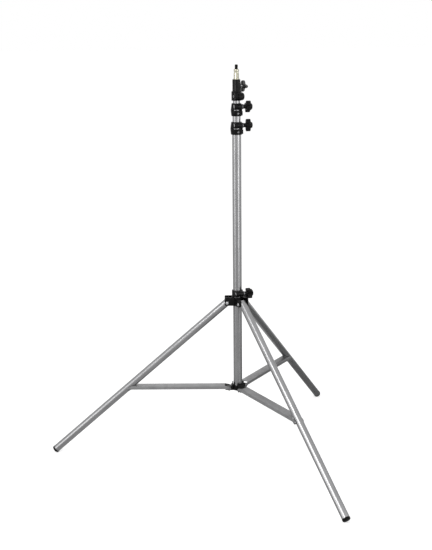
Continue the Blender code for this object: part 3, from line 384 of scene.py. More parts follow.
def pressed_sheet_finish(name, dark, light):
    """Plated sheet with a rolled grain and soft staining."""
    material, nodes, links, shader = start_finish(name)
    space = pattern_space(nodes, links, (1.0, 1.0, 1.0))
    grain = noise(nodes, links, space, 900.0, 4.0)
    stain = noise(nodes, links, space, 38.0, 5.0, 0.6)
    links.new(tint(nodes, links, stain, dark, light), shader.inputs["Base Color"])
    links.new(spread(nodes, links, grain, 0.36, 0.5), shader.inputs["Roughness"])
    links.new(relief(nodes, links, grain, 0.08, 0.00006), shader.inputs["Normal"])
    shader.inputs["Metallic"].default_value = 1.0
    return material


def black_casting_finish(name):
    """Black stoved paint over a casting: orange peel, and a rub of grey where it is handled."""
    material, nodes, links, shader = start_finish(name)
    space = pattern_space(nodes, links, (1.0, 1.0, 1.0))
    peel = noise(nodes, links, space, 620.0, 3.0)
    rub = noise(nodes, links, space, 90.0, 6.0, 0.65)
    rubbed = tint(nodes, links, rub, (0.0015, 0.0015, 0.0018), (0.005, 0.005, 0.0052))
    links.new(rubbed, shader.inputs["Base Color"])
    links.new(spread(nodes, links, rub, 0.22, 0.36), shader.inputs["Roughness"])
    links.new(relief(nodes, links, peel, 0.12, 0.00012), shader.inputs["Normal"])
    shader.inputs["Specular IOR Level"].default_value = DULL_GLOSS
    shader.inputs["Coat Weight"].default_value = 0.04
    shader.inputs["Coat Roughness"].default_value = 0.15
    return material


def moulded_finish(name, dark, light, low, high, depth, gloss=DULL_GLOSS):
    """Black moulded plastic or rubber with a fine moulding grain."""
    material, nodes, links, shader = start_finish(name)
    space = pattern_space(nodes, links, (1.0, 1.0, 1.0))
    grain = noise(nodes, links, space, 1500.0, 3.0)
    cloud = noise(nodes, links, space, 120.0, 5.0, 0.6)
    links.new(tint(nodes, links, cloud, dark, light), shader.inputs["Base Color"])
    links.new(spread(nodes, links, cloud, low, high), shader.inputs["Roughness"])
    links.new(relief(nodes, links, grain, 0.15, depth), shader.inputs["Normal"])
    shader.inputs["Specular IOR Level"].default_value = gloss
    return material


def turned_metal_finish(name, dark, light, low, high):
    """Bar turned on a lathe: fine rings round the vertical axis and small scuffs."""
    material, nodes, links, shader = start_finish(name)
    rings = pattern_space(nodes, links, (0.02, 0.02, 1.0))
    even = pattern_space(nodes, links, (1.0, 1.0, 1.0))
    feed = noise(nodes, links, rings, 3200.0, 2.0)
    scuff = noise(nodes, links, even, 210.0, 6.0, 0.6)
    links.new(tint(nodes, links, scuff, dark, light), shader.inputs["Base Color"])
    links.new(spread(nodes, links, scuff, low, high), shader.inputs["Roughness"])
    links.new(relief(nodes, links, feed, 0.1, 0.00004), shader.inputs["Normal"])
    shader.inputs["Metallic"].default_value = 1.0
    return material


# Darkest and lightest colour of each finish
TUBE_GREY = ((0.29, 0.29, 0.295), (0.35, 0.35, 0.355))
BRACE_GREY = ((0.27, 0.27, 0.275), (0.35, 0.35, 0.355))
RIVET_GREY = ((0.42, 0.42, 0.43), (0.55, 0.55, 0.56))
DULL_RIVET_GREY = ((0.17, 0.17, 0.175), (0.24, 0.24, 0.245))
KNOB_BLACK = ((0.0012, 0.0012, 0.0012), (0.004, 0.004, 0.004))
THUMB_BLACK = ((0.004, 0.004, 0.004), (0.012, 0.012, 0.012))
PLUG_BLACK = ((0.010, 0.010, 0.010), (0.020, 0.020, 0.020))
FOOT_BLACK = ((0.0015, 0.0015, 0.0015), (0.005, 0.005, 0.005))
THREAD_BLACK = ((0.002, 0.002, 0.002), (0.008, 0.007, 0.006))
# The next colour is plated steel painted dark all over: painted shade in place of the dark surroundings its
# bright plating would mirror.
STEEL_IN_PAINTED_SHADE = ((0.12, 0.12, 0.125), (0.2, 0.2, 0.205))
BRIGHT_STEEL = ((0.62, 0.62, 0.63), (0.78, 0.78, 0.79))
PALE_BRASS = ((0.44, 0.425, 0.335), (0.52, 0.505, 0.41))

leg_finishes = []
for number, azimuth in enumerate(LEG_AZIMUTHS, 1):
    leaning = (0.0, -LEG_LEAN, radians(azimuth))
    leg_finishes.append(drawn_tube_finish(f"leg_tube_{number}", leaning, *TUBE_GREY))
tube_finish = drawn_tube_finish("column_tube", (0.0, 0.0, 0.0), *TUBE_GREY)
brace_finish = pressed_sheet_finish("brace_sheet", *BRACE_GREY)
rivet_finish = pressed_sheet_finish("rivet_plate", *RIVET_GREY)
casting_finish = black_casting_finish("black_casting")
knob_finish = moulded_finish("black_knob", *KNOB_BLACK, 0.24, 0.38, 0.00004)
thumb_finish = moulded_finish("thumb_knob", *THUMB_BLACK, 0.2, 0.3, 0.00004, gloss=0.9)
plug_finish = moulded_finish("black_plug", *PLUG_BLACK, 0.42, 0.6, 0.00006)
foot_finish = moulded_finish("foot_rubber", *FOOT_BLACK, 0.5, 0.7, 0.00008)
# Washers, fixing screws and the pinch bolt: bright steel with a painted dark reflection in its colour.
dark_steel_finish = turned_metal_finish("steel_in_painted_shade", *STEEL_IN_PAINTED_SHADE, 0.22, 0.34)
dull_rivet_finish = pressed_sheet_finish("dulled_rivet", *DULL_RIVET_GREY)
steel_finish = turned_metal_finish("bright_zinc", *BRIGHT_STEEL, 0.18, 0.32)
brass_finish = turned_metal_finish("pale_brass", *PALE_BRASS, 0.22, 0.34)
thread_finish = moulded_finish("black_thread", *THREAD_BLACK, 0.3, 0.45, 0.00004)


# Tubes

def tube_rings(outer, wall, low, high, chamfer=0.3):
    """Side view of a tube's wall, closed on itself, with chamfered outer rims."""
    inner = outer - wall
    return [
        (inner, low),
        (outer - chamfer, low),
        (outer, low + chamfer),
        (outer, high - chamfer),
        (outer - chamfer, high),
        (inner, high),
        (inner, low),
    ]


# Piece, node, body, radius, and the heights that the tube runs between
for name, node, body, radius, low, high in (
    ("column_sleeve", "base_column", "column", COLUMN_RADIUS, 217.892, 1060.692),
    ("lower_riser", "riser_1_tube", "riser_1", RISER_1_RADIUS, 247.892, 1117.292),
    ("upper_riser", "riser_2_tube", "riser_2", RISER_2_RADIUS, 274.292, 1172.092),
):
    tube = turn(name, tube_rings(radius, TUBE_WALL, low, high), TUBE_SIDES)
    hand_over(lay(tube, COLUMN), node, body, tube_finish)

end_plug_rings = [(12.2, 216.092), (13.3, 216.492), (13.7, 216.992), (13.7, 217.592), (12.5, 217.592)]
end_plug = turn("column_bottom_plug", end_plug_rings + [(12.5, 229.0), (11.9, 229.5)], 48)
hand_over(lay(end_plug, COLUMN), "column_end_plug", "column", plug_finish)


# Where the braces and the legs stand

TO_LEG = outward(BRACE_LENGTH) @ Matrix.Rotation(-LEG_LEAN, 4, "Y")


def brace_place(azimuth):
    """Carries a brace out from the column to its hub pin."""
    return COLUMN @ turned(radians(azimuth)) @ raised(HUB_PIN_Z) @ outward(HUB_PIN_REACH)


def leg_place(azimuth):
    """Carries a leg on to the brace's outer pin, leaning in to the column."""
    return brace_place(azimuth) @ TO_LEG


# Legs: tube and end plug, measured along the leg from its brace pin

LEG_LOW = -322.3
LEG_HIGH = 440.0

ON_LEG = outward(LEG_SIDESTEP)
LEG_TOP_PIN = across_y(LEG_SIDESTEP, BRACE_TO_TOP_PIN)
leg = lay(turn("leg", tube_rings(LEG_RADIUS, TUBE_WALL, LEG_LOW, LEG_HIGH), TUBE_SIDES), ON_LEG)
for pin_place in (LEG_TOP_PIN, across_y()):
    carve(leg, lay(rod("bore", PIN_HOLE, -16.0, 16.0, 24), pin_place))

foot_rings = [(4.0, -330.3), (7.6, -330.3)] + arc(7.55, -325.35, 4.95, -90.0, 90.0, 8)[1:]
foot_rings += [(12.5, -323.1), (12.2, -322.6), (10.5, -322.6), (10.5, -306.5), (9.4, -305.2)]
foot = lay(turn("foot", foot_rings, TUBE_SIDES), ON_LEG)

for number, azimuth in enumerate(LEG_AZIMUTHS, 1):
    body = f"leg_body_{number}"
    spread_leg = lay(copy_of(leg, f"leg_{number}"), leg_place(azimuth))
    hand_over(spread_leg, f"leg_tube_{number}", body, leg_finishes[number - 1])
    plug = lay(copy_of(foot, f"leg_end_plug_{number}"), leg_place(azimuth))
    slice_off(plug, (0.0, 0.0, 0.0), (0.0, 0.0, -1.0))
    hand_over(plug, f"foot_{number}", body, foot_finish)
put_away(leg, foot)


# Braces: a channel bent from sheet, with round ears at both pins

# Half the width, outside and between the cheeks
BRACE_HALF = 15.0
BRACE_INSIDE = 13.5
# Heights of the web's two faces and of the cheeks' lower edge
BRACE_TOP = 9.9
BRACE_WEB = 8.4
BRACE_LIP = -1.1
# Ears, the web's two ends, and the sheet's bends
EAR_RADIUS = 6.5
EAR_BLEND = 10.0
HUB_END = 14.0
LEG_END = BRACE_LENGTH - EAR_BLEND
BEND_OUTSIDE = 2.2
BEND_INSIDE = 0.8

brace_side = arc(0.0, 0.0, EAR_RADIUS, 95.0, 175.0, 24) + [(EAR_BLEND, BRACE_LIP), (LEG_END, BRACE_LIP)]
brace_side += arc(BRACE_LENGTH, 0.0, EAR_RADIUS, -90.0, 162.0, 24)
brace_side += [(LEG_END, BRACE_TOP), (HUB_END, BRACE_TOP)]
brace = plate("brace", brace_side, -BRACE_HALF, BRACE_HALF)
round_edges(
    brace,
    BEND_OUTSIDE,
    lambda middle, way: abs(way.x) > 0.9 and middle.z > 9.0 and abs(abs(middle.y) - BRACE_HALF) < 0.1,
)
hollow = bar("hollow", (-PAST, -BRACE_INSIDE, -30.0), (BRACE_LENGTH + PAST, BRACE_INSIDE, BRACE_WEB))
round_edges(hollow, BEND_INSIDE, lambda middle, way: abs(way.x) > 0.9 and middle.z > 8.0, 3)
carve(brace, hollow)
for start, end in ((-PAST, HUB_END), (LEG_END, BRACE_LENGTH + PAST)):
    carve(brace, bar("open_end", (start, 0.05 - BRACE_INSIDE, 1.0), (end, BRACE_INSIDE - 0.05, 30.0)))
carve(brace, lay(rod("notch", BRACE_INSIDE - FIT, 0.0, 60.0, 64), TO_LEG @ ON_LEG))
for along in (0.0, BRACE_LENGTH):
    carve(brace, lay(rod("bore", PIN_HOLE, -PAST, PAST, 24), across_y(along)))


def rivet_rings(inside):
    """Half a rivet: shoulder against the inner piece, shank through the cheek, domed head."""
    return [
        (5.2, inside),
        (5.5, inside + 0.25),
        (5.5, 12.95),
        (5.2, 13.2),
        (PIN_RADIUS, 13.2),
        (PIN_RADIUS, 15.3),
        (4.8, 15.3),
        (5.0, 15.5),
        (4.8, 16.1),
        (4.1, 16.6),
        (2.9, 16.95),
        (1.2, 17.1),
    ]


def rivet(name, inside):
    """A whole rivet, mirrored about the middle of its shank."""
    half = rivet_rings(inside)
    mirrored = [(radius, -height) for radius, height in reversed(half)]
    return turn(name, mirrored + [(PIN_RADIUS, -inside), (PIN_RADIUS, inside)] + half, 32)


hub_rivet = lay(rivet("hub_rivet", LEG_RADIUS + FIT), across_y())
leg_rivet = lay(rivet("leg_rivet", LEG_RADIUS + FIT), across_y(BRACE_LENGTH))
for number, azimuth in enumerate(LEG_AZIMUTHS, 1):
    body = f"brace_body_{number}"
    place = brace_place(azimuth)
    channel = lay(copy_of(brace, f"brace_channel_{number}"), place)
    hand_over(channel, f"brace_{number}", body, brace_finish)
    for pattern, name, node in (
        (hub_rivet, "inner_rivet", "hub_rivet"),
        (leg_rivet, "outer_rivet", "brace_rivet"),
    ):
        pin = lay(copy_of(pattern, f"{name}_{number}"), place)
        hand_over(pin, f"{node}_{number}", body, dull_rivet_finish)
put_away(brace, hub_rivet, leg_rivet)


# Hub at the column's foot, with a lug for each brace

LUG_RADIUS = 5.5
LUG_END = 36.5

hub_rings = [(7.0, -5.8), (16.8, -5.8), (17.6, -5.0), (17.6, 9.2), (16.8, 10.0), (7.0, 10.0), (7.0, -5.8)]
hub = turn("lower_hub", hub_rings)
lug_outline = [(15.0, -LUG_RADIUS)] + arc(LUG_END, 0.0, LUG_RADIUS, -90.0, 180.0, 12)
lug_outline += [(25.4, LUG_RADIUS), (24.0, 5.7), (22.9, 6.5), (20.5, 10.8), (18.6, 12.4), (18.4, 13.0)]
lug_outline += [(18.35, 17.2), (17.7, 18.0), (15.0, 18.0)]
for azimuth in LEG_AZIMUTHS:
    around = turned(radians(azimuth))
    lug = plate("lug", lug_outline, -LEG_RADIUS, LEG_RADIUS)
    carve(lug, lay(rod("bore", PIN_HOLE, -PAST, PAST, 24), across_y(HUB_PIN_REACH)))
    weld(hub, lay(lug, around))
carve(hub, rod("bore", COLUMN_BORE, -15.0, 25.0, 64))
lay(hub, COLUMN @ raised(HUB_PIN_Z))
hand_over(hub, "brace_hub", "column", casting_finish)


# Cross boss, bolt, washer and star knob, the same on both clamps and the leg collar

# Measured along the boss from its middle, the bolt's head at the low end
BOSS_RADIUS = 8.2
BOSS_HALF = 12.5
SLIT_HALF = 0.8
POCKET_FLOOR = -8.2
BOLT_FLATS = 10.0
KNOB_SEAT = 16.5
KNOB_RADIUS = 19.0
KNOB_ROOT = 10.5


def hex_bar(name, flats, low, high):
    """A hexagon bar, measured across its flats."""
    corner = flats / 2 / cos(pi / 6)
    return turn(name, [(corner, low), (corner, high)], 6)


def cut_slits(piece, low, high, step, top, reach):
    """A level slit round the front, and an upright one from it through the ring."""
    carve(piece, bar("level_slit", (-4 * reach, -4 * reach, low), (4 * reach, -reach / 4, high)))
    carve(piece, bar("upright_slit", (-SLIT_HALF, -4 * reach, step), (SLIT_HALF, 0.0, top + 2.0)))


def cross_boss(piece, place):
    """Welds on the round boss that the clamp bolt goes through."""
    weld(piece, lay(rod("boss", BOSS_RADIUS, -BOSS_HALF, BOSS_HALF, 56, 0.7), place))


def bore_boss(piece, distance, height):
    """Bolt hole and hexagon pocket of a cross boss."""
    place = along_x(-distance, height)
    carve(piece, lay(rod("bore", PIN_HOLE, -30.0, 30.0, 32), place))
    carve(piece, lay(hex_bar("pocket", BOLT_FLATS + 2 * FIT, -16.0, POCKET_FLOOR), place))


def flute(knob, radius, root, low, high):
    """Draws a knob's round rim in between its four lobes, one line of corners at a time."""
    line_spacing = 360.0 / KNOB_SIDES
    pick_up(knob)
    bpy.ops.object.mode_set(mode="EDIT")
    for step in range(13):
        wave = 0.5 + 0.5 * cos(radians(4.0 * line_spacing * step))
        share = (root + (radius - root) * wave ** 0.8) / radius
        bpy.ops.mesh.select_all(action="DESELECT")
        shape = bmesh.from_edit_mesh(knob.data)
        for corner in shape.verts:
            spot = corner.co / MM
            from_lobe = degrees(atan2(spot.y, spot.x)) % 90.0
            from_lobe = min(from_lobe, 90.0 - from_lobe)
            if low < spot.z < high and abs(from_lobe - line_spacing * step) < 1.0:
                corner.select_set(True)
        bmesh.update_edit_mesh(knob.data)
        bpy.ops.transform.resize(value=(share, share, 1.0), center_override=(0.0, 0.0, 0.0))
    bpy.ops.object.mode_set(mode="OBJECT")
    return knob


def star_knob(name, base, phase):
    """Star knob with a round neck below and a cone above that ends in a flat crown."""
    low, high = base + 8.3, base + 22.3
    neck = [(6.2, base), (6.6, base + 0.4), (6.6, base + 5.6), (7.0, base + 7.2), (7.6, base + 8.0)]
    crown = [(9.6, high + 0.9), (9.4, high + 3.0), (8.9, high + 4.4), (8.0, high + 5.5), (6.4, high + 6.0)]
    rings = neck + rolled_rim(KNOB_RADIUS, low, high, 1.7) + crown + [(4.8, high + 5.9), (4.4, high + 5.5)]
    knob = flute(turn(name, rings, KNOB_SIDES), KNOB_RADIUS, KNOB_ROOT, low - 0.1, high + 0.1)
    bore_rings = [(5.3, base - 1.0), (5.3, base + 13.3), (3.6, base + 13.3), (3.6, base + 17.1)]
    carve(knob, turn("bore", bore_rings, 32))
    return lay(knob, turned(radians(phase)))


def cross_bolt(name, holder, distance, height, place, phase, knob_body, finish):
    """Hexagon bolt, washer and knob on one cross boss."""
    on_boss = place @ along_x(-distance, height)
    bolt = rod(f"{name}_bolt_shank", PIN_RADIUS, -BOSS_HALF, 33.0, 32, 0.4)
    head = hex_bar("head", BOLT_FLATS, -BOSS_HALF, POCKET_FLOOR - FIT)
    round_edges(head, 0.4, lambda middle, way: abs(way.z) < 0.1 and middle.z < -12.0, 2)
    hand_over(lay(weld(bolt, head), on_boss), f"{name}_bolt", holder, steel_finish)
    washer_rings = tube_rings(7.8, 4.5, BOSS_HALF + FIT, KNOB_SEAT - FIT, 0.6)
    washer = turn(f"{name}_plain_washer", washer_rings, 48)
    hand_over(lay(washer, on_boss), f"{name}_washer", holder, dark_steel_finish)
    knob = star_knob(f"{name}_star_knob", KNOB_SEAT, phase)
    hand_over(lay(knob, on_boss), f"{name}_knob", knob_body, finish)


# Column clamp and riser clamp: the same casting, sized to its tubes

CLAMP_HEIGHT = 39.0
CLAMP_BOSS_Z = 29.6
BOSS_FROM_BORE = 5.5
SCREW_SEAT_FROM_BORE = 4.2
FIXING_SCREW = radial(radians(-88.0), 8.6)
SCREW_SLOT_TURN = radians(35.0)


def clamp(name, sleeve_bore, ring_bore):
    """The clamp's casting: a sleeve below, a split ring and its cross boss above."""
    waist = sleeve_bore + 4.9
    body_rings = [
        (7.0, 0.0),
        (sleeve_bore + 2.0, 0.0),
        (sleeve_bore + 2.6, 0.4),
        (sleeve_bore + 3.4, 2.0),
        (waist - 0.1, 14.6),
        (waist, 15.2),
        (waist, 20.4),
        (waist - 0.2, 21.2),
        (ring_bore + 4.1, 36.6),
        (ring_bore + 3.6, 38.2),
        (ring_bore + 2.8, CLAMP_HEIGHT),
        (7.0, CLAMP_HEIGHT),
        (7.0, 0.0),
    ]
    casting = turn(name, body_rings)
    distance = ring_bore + BOSS_FROM_BORE
    boss_place = along_x(-distance, CLAMP_BOSS_Z)
    cross_boss(casting, boss_place)
    weld(casting, lay(rod("pad", 6.8, 6.0, sleeve_bore + 6.2, 40, 1.2), radial(-CLAMP_TURN, 8.2)))
    stepped = [(sleeve_bore, -2.0), (sleeve_bore, 18.5), (ring_bore, 18.5), (ring_bore, 42.0)]
    carve(casting, turn("bore", stepped, 64))
    boss_end = BOSS_HALF + 0.02
    for low, high in ((boss_end, 26.0), (-26.0, -boss_end)):
        carve(casting, lay(rod("spot_face", BOSS_RADIUS + FIT, low, high, 56), boss_place))
    cut_slits(casting, low=17.2, high=19.8, step=17.8, top=CLAMP_HEIGHT, reach=19.2)
    bore_boss(casting, distance, CLAMP_BOSS_Z)
    carve(casting, lay(rod("bore", 2.3, 6.0, 30.0, 24), FIXING_SCREW))
    face = sleeve_bore + SCREW_SEAT_FROM_BORE - FIT
    carve(casting, lay(rod("spot_face", 3.7, face, 30.0, 40), FIXING_SCREW))
    return casting


def fixing_screw(name, tip, seat):
    """Round-headed screw with a straight slot."""
    rings = [(1.6, tip), (2.0, tip + 0.4), (2.0, seat), (3.4, seat), (3.4, seat + 0.8), (3.1, seat + 1.4)]
    screw = turn(name, rings + [(2.3, seat + 1.75), (0.8, seat + 1.85)], 32)
    carve(screw, bar("slot", (-0.45, -5.0, seat + 1.0), (0.45, 5.0, seat + 4.0)))
    return screw


# Casting, its body, its knob's body, height, both bores, and how far the knob is turned
for name, holder, knob_body, level, sleeve_bore, ring_bore, phase in (
    ("column_clamp", "column", "column_knob", COLUMN_CLAMP_Z, COLUMN_BORE, RISER_1_BORE, 0.0),
    ("riser_clamp", "riser_1", "riser_knob", RISER_CLAMP_Z, RISER_1_BORE, RISER_2_BORE, 20.0),
):
    stand_on = COLUMN @ raised(level) @ turned(CLAMP_TURN)
    casting = clamp(f"{name}_casting", sleeve_bore, ring_bore)
    hand_over(lay(casting, stand_on), name, holder, casting_finish)
    screw = fixing_screw(f"{name}_fixing_screw", sleeve_bore, sleeve_bore + SCREW_SEAT_FROM_BORE)
    place = stand_on @ FIXING_SCREW @ turned(SCREW_SLOT_TURN)
    hand_over(lay(screw, place), f"{name}_screw", holder, dark_steel_finish)
    distance = ring_bore + BOSS_FROM_BORE
    cross_bolt(name, holder, distance, CLAMP_BOSS_Z, stand_on, phase, knob_body, knob_finish)


# Leg collar: three forks below, split ring and cross boss above

COLLAR_TOP = 39.7
COLLAR_BOSS_X = 19.8
COLLAR_BOSS_Z = 31.0
FORK_HALF = 16.6
FORK_INSIDE = 12.6
COLLAR_KNOB_TURN = 42.0

collar_rings = [
    (7.0, -10.7),
    (17.8, -10.7),
    (18.6, -9.9),
    (18.6, 18.4),
    (17.6, 18.8),
    (17.6, 38.2),
    (17.2, 39.2),
    (16.3, COLLAR_TOP),
    (7.0, COLLAR_TOP),
    (7.0, -10.7),
]
collar = turn("leg_spider", collar_rings)
fork_outline = [(10.0, -9.0)] + arc(36.0, -4.0, 5.0, -90.0, 90.0, 6)
fork_outline += arc(38.5, 15.3, 2.5, 0.0, 90.0, 6) + [(10.0, 17.8)]
for azimuth in LEG_AZIMUTHS:
    around = turned(radians(azimuth))
    fork = plate("fork", fork_outline, -FORK_HALF, FORK_HALF)
    round_edges(fork, 0.8, lambda middle, way: middle.x > 20.0 and abs(middle.y) > 16.5, 3)
    weld(collar, lay(fork, around))
boss_turn = turned(COLLAR_TURN)
cross_boss(collar, boss_turn @ along_x(-COLLAR_BOSS_X, COLLAR_BOSS_Z))
carve(collar, rod("bore", COLUMN_BORE, -20.0, 50.0, 64))
for azimuth in LEG_AZIMUTHS:
    around = turned(radians(azimuth))
    carve(collar, lay(bar("gap", (18.4, -FORK_INSIDE, -20.0), (50.0, FORK_INSIDE, 18.5)), around))
    carve(collar, lay(rod("bore", PIN_HOLE, -25.0, 25.0, 24), around @ across_y(COLLAR_PIN_REACH)))
lay(collar, boss_turn.inverted())
cut_slits(collar, low=17.5, high=19.6, step=18.7, top=COLLAR_TOP, reach=17.6)
bore_boss(collar, COLLAR_BOSS_X, COLLAR_BOSS_Z)
collar_foot = COLUMN @ raised(LEG_PIVOT_Z)
collar_place = collar_foot @ boss_turn
hand_over(lay(collar, collar_place), "leg_collar", "collar", casting_finish)
cross_bolt(
    "leg_collar",
    "collar",
    COLLAR_BOSS_X,
    COLLAR_BOSS_Z,
    collar_place,
    COLLAR_KNOB_TURN,
    "collar_knob",
    knob_finish,
)

head_seat = FORK_HALF + FIT
head_rings = [(PIN_RADIUS, FORK_INSIDE + FIT), (PIN_RADIUS, head_seat), (4.8, head_seat), (5.0, 17.1)]
head = turn("pivot_head", head_rings + [(4.8, 17.7), (4.1, 18.2), (2.9, 18.55), (1.2, 18.7)], 32)
pin_end = FORK_INSIDE - FIT
pin = rod("pivot_pin", PIN_RADIUS, -pin_end, pin_end, 24, 0.3)
to_fork = outward(COLLAR_PIN_REACH)
for number, azimuth in enumerate(LEG_AZIMUTHS, 1):
    in_fork = collar_foot @ turned(radians(azimuth)) @ to_fork
    for side, tip in (("left", -pi / 2), ("right", pi / 2)):
        button = lay(copy_of(head, f"pivot_button_{number}_{side}"), in_fork @ Matrix.Rotation(tip, 4, "X"))
        hand_over(button, f"leg_pivot_head_{number}_{side}", "collar", rivet_finish)
    cross = lay(copy_of(pin, f"pivot_cross_pin_{number}"), leg_place(azimuth) @ LEG_TOP_PIN)
    hand_over(cross, f"leg_pivot_pin_{number}", f"leg_body_{number}", rivet_finish)
put_away(head, pin)


# Top casting with its pinch boss, the spigot and the knob that holds it

SPIGOT_RADIUS = 8.0
CUP_RADIUS = 15.4
SOCKET_RADIUS = 12.3
PINCH_PLACE = along_x(-15.0, 13.2)
PINCH_RADIUS = 2.5
THUMB_RADIUS = 17.5
THUMB_ROOT = 8.4
THUMB_SEAT = 25.6
THUMB_TOP = 36.1
THUMB_TURN = radians(5.0)
THUMB_PLACE = radial(radians(50.0) - CLAMP_TURN, 42.2)

top_place = COLUMN @ raised(SOCKET_Z) @ turned(CLAMP_TURN)
socket_rings = [
    (14.6, 0.0),
    (15.2, 0.3),
    (CUP_RADIUS, 1.0),
    (CUP_RADIUS, 26.2),
    (15.0, 27.2),
    (12.8, 28.9),
    (SOCKET_RADIUS, 29.8),
    (SOCKET_RADIUS, 62.8),
    (12.0, 63.6),
    (11.4, 63.9),
]
top = turn("top_casting", socket_rings)
pinch_rings = [(11.2, -10.4), (12.0, -9.6)] + arc(4.5, 13.0, 7.5, 0.0, 90.0, 8)
weld(top, lay(turn("pinch_boss", pinch_rings, 56), PINCH_PLACE))
weld(top, lay(rod("screw_boss", 6.5, 4.0, 15.3, 40, 0.6), THUMB_PLACE))
carve(top, rod("bore", RISER_2_BORE, -3.0, 24.8, 64))
carve(top, rod("bore", SPIGOT_RADIUS + FIT, 33.6, 70.0, 64))
carve(top, bar("upright_slit", (-SLIT_HALF, -34.0, -3.0), (SLIT_HALF, 0.0, 22.6)))
carve(top, lay(rod("bore", PINCH_RADIUS + FIT, -24.0, 10.3, 32), PINCH_PLACE))
carve(top, bar("landing", (-32.0, -26.0, 8.0), (-10.0, -9.8, 18.4)))
carve(top, lay(rod("bore", PIN_HOLE, 0.0, 32.0, 32), THUMB_PLACE))
hand_over(lay(top, top_place), "top_socket", "riser_2", casting_finish)

pinch = rod("pinch_bolt_shank", PINCH_RADIUS, -10.6, 10.0, 32, 0.3)
head = hex_bar("head", 8.0, -13.8, -10.3)
round_edges(head, 0.4, lambda middle, way: abs(way.z) < 0.1 and middle.z < -13.0, 2)
pinch = lay(weld(pinch, head), top_place @ PINCH_PLACE)
hand_over(pinch, "top_socket_bolt", "riser_2", dark_steel_finish)

spigot_rings = [
    (6.8, 33.9),
    (SPIGOT_RADIUS, 35.1),
    (SPIGOT_RADIUS, 64.2),
    (9.0, 64.2),
    (9.3, 64.5),
    (9.3, 66.3),
    (9.0, 66.7),
    (8.5, 66.9),
    (SPIGOT_RADIUS, 67.6),
    (SPIGOT_RADIUS, 82.3),
    (7.75, 82.7),
    (7.0, 83.5),
    (7.0, 87.3),
    (7.75, 88.1),
    (SPIGOT_RADIUS, 88.5),
    (SPIGOT_RADIUS, 93.7),
    (7.8, 94.1),
    (7.4, 94.4),
    (5.2, 94.4),
    (5.2, 84.5),
]
spigot = turn("brass_spigot", spigot_rings, 64)
hand_over(lay(spigot, top_place), "spigot", "spigot_body", brass_finish)

THREAD_RADIUS = 4.9
THREAD_PITCH = 1.25

tip_rings = [(4.6, 84.7), (THREAD_RADIUS, 85.0), (THREAD_RADIUS, 95.0)]
for ring in range(8):
    tip_rings += [(4.45, 95.6 + THREAD_PITCH * ring), (THREAD_RADIUS, 96.2 + THREAD_PITCH * ring)]
tip_rings += [(THREAD_RADIUS, 106.4), (4.6, 107.4), (3.7, 108.2), (2.3, 108.65), (0.8, 108.73)]
tip = turn("threaded_tip", tip_rings, 40)
hand_over(lay(tip, top_place), "spigot_tip", "spigot_body", thread_finish)

knob_place = top_place @ THUMB_PLACE
screw = turn("thumb_screw", [(2.6, 8.3), (PIN_RADIUS, 8.8), (PIN_RADIUS, 32.6), (2.6, 32.95)], 32)
hand_over(lay(screw, knob_place), "spigot_screw", "spigot_knob_body", steel_finish)
sleeve = turn("thumb_screw_sleeve", tube_rings(5.6, 2.3, 15.6, THUMB_SEAT - FIT, 0.5), 40)
hand_over(lay(sleeve, knob_place), "spigot_knob_collar", "spigot_knob_body", steel_finish)
thumb_rings = [(5.6, THUMB_SEAT)] + rolled_rim(THUMB_RADIUS, THUMB_SEAT, THUMB_TOP, 1.5)
thumb_rings += [(9.0, 36.9), (8.6, 37.8), (7.6, 38.8), (6.0, 39.5), (4.4, 39.5), (4.0, 39.2)]
knob = turn("thumb_knob", thumb_rings, KNOB_SIDES)
flute(knob, THUMB_RADIUS, THUMB_ROOT, THUMB_SEAT - 0.1, THUMB_TOP + 0.1)
carve(knob, rod("bore", PIN_HOLE, 18.0, 33.25, 32))
lay(knob, turned(THUMB_TURN))
hand_over(lay(knob, knob_place), "spigot_knob", "spigot_knob_body", thumb_finish)


# What stays as it was built, inside the tubes and knobs, only gets its coat

for node, coat in (
    ("riser_1_guide", plug_finish),
    ("riser_2_guide", plug_finish),
    ("column_clamp_knob_insert", steel_finish),
    ("riser_clamp_knob_insert", steel_finish),
    ("leg_collar_knob_insert", steel_finish),
):
    for material_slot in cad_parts[node].material_slots:
        material_slot.material = coat


# Studio: pale floor, white surroundings, soft light, and the camera

WHITE = (1.0, 1.0, 1.0, 1.0)
FLOOR_SPAN = 80.0
FLOOR_DROP = 0.0006
FLOOR_TONE = (0.9, 0.9, 0.9, 1.0)
FLOOR_GLOW = 0.53
ROOM_LIGHT = 0.55


def worked(nodes, links, operation, first, second):
    """One step of arithmetic on two values; either may be a plain number."""
    step = nodes.new("ShaderNodeMath")
    step.operation = operation
    for value, way_in in zip((first, second), step.inputs):
        if isinstance(value, float):
            way_in.default_value = value
        else:
            links.new(value, way_in)
    return step.outputs["Value"]


def shown_white(nodes, links):
    """One for the rays that see the surroundings themselves: camera, gloss and glass."""
    rays = nodes.new("ShaderNodeLightPath").outputs
    seen = worked(nodes, links, "MAXIMUM", rays["Is Camera Ray"], rays["Is Glossy Ray"])
    return worked(nodes, links, "MAXIMUM", seen, rays["Is Transmission Ray"])


def surroundings(nodes, strength):
    """Even white light from all round."""
    background = nodes.new("ShaderNodeBackground")
    background.inputs["Color"].default_value = WHITE
    background.inputs["Strength"].default_value = strength
    return background.outputs["Background"]


world = bpy.data.worlds.new("studio")
bpy.context.scene.world = world
world.use_nodes = True
nodes, links = world.node_tree.nodes, world.node_tree.links
nodes.clear()
output = nodes.new("ShaderNodeOutputWorld")
choose = nodes.new("ShaderNodeMixShader")
links.new(shown_white(nodes, links), choose.inputs["Fac"])
links.new(surroundings(nodes, ROOM_LIGHT), choose.inputs[1])
links.new(surroundings(nodes, 1.0), choose.inputs[2])
links.new(choose.outputs["Shader"], output.inputs["Surface"])

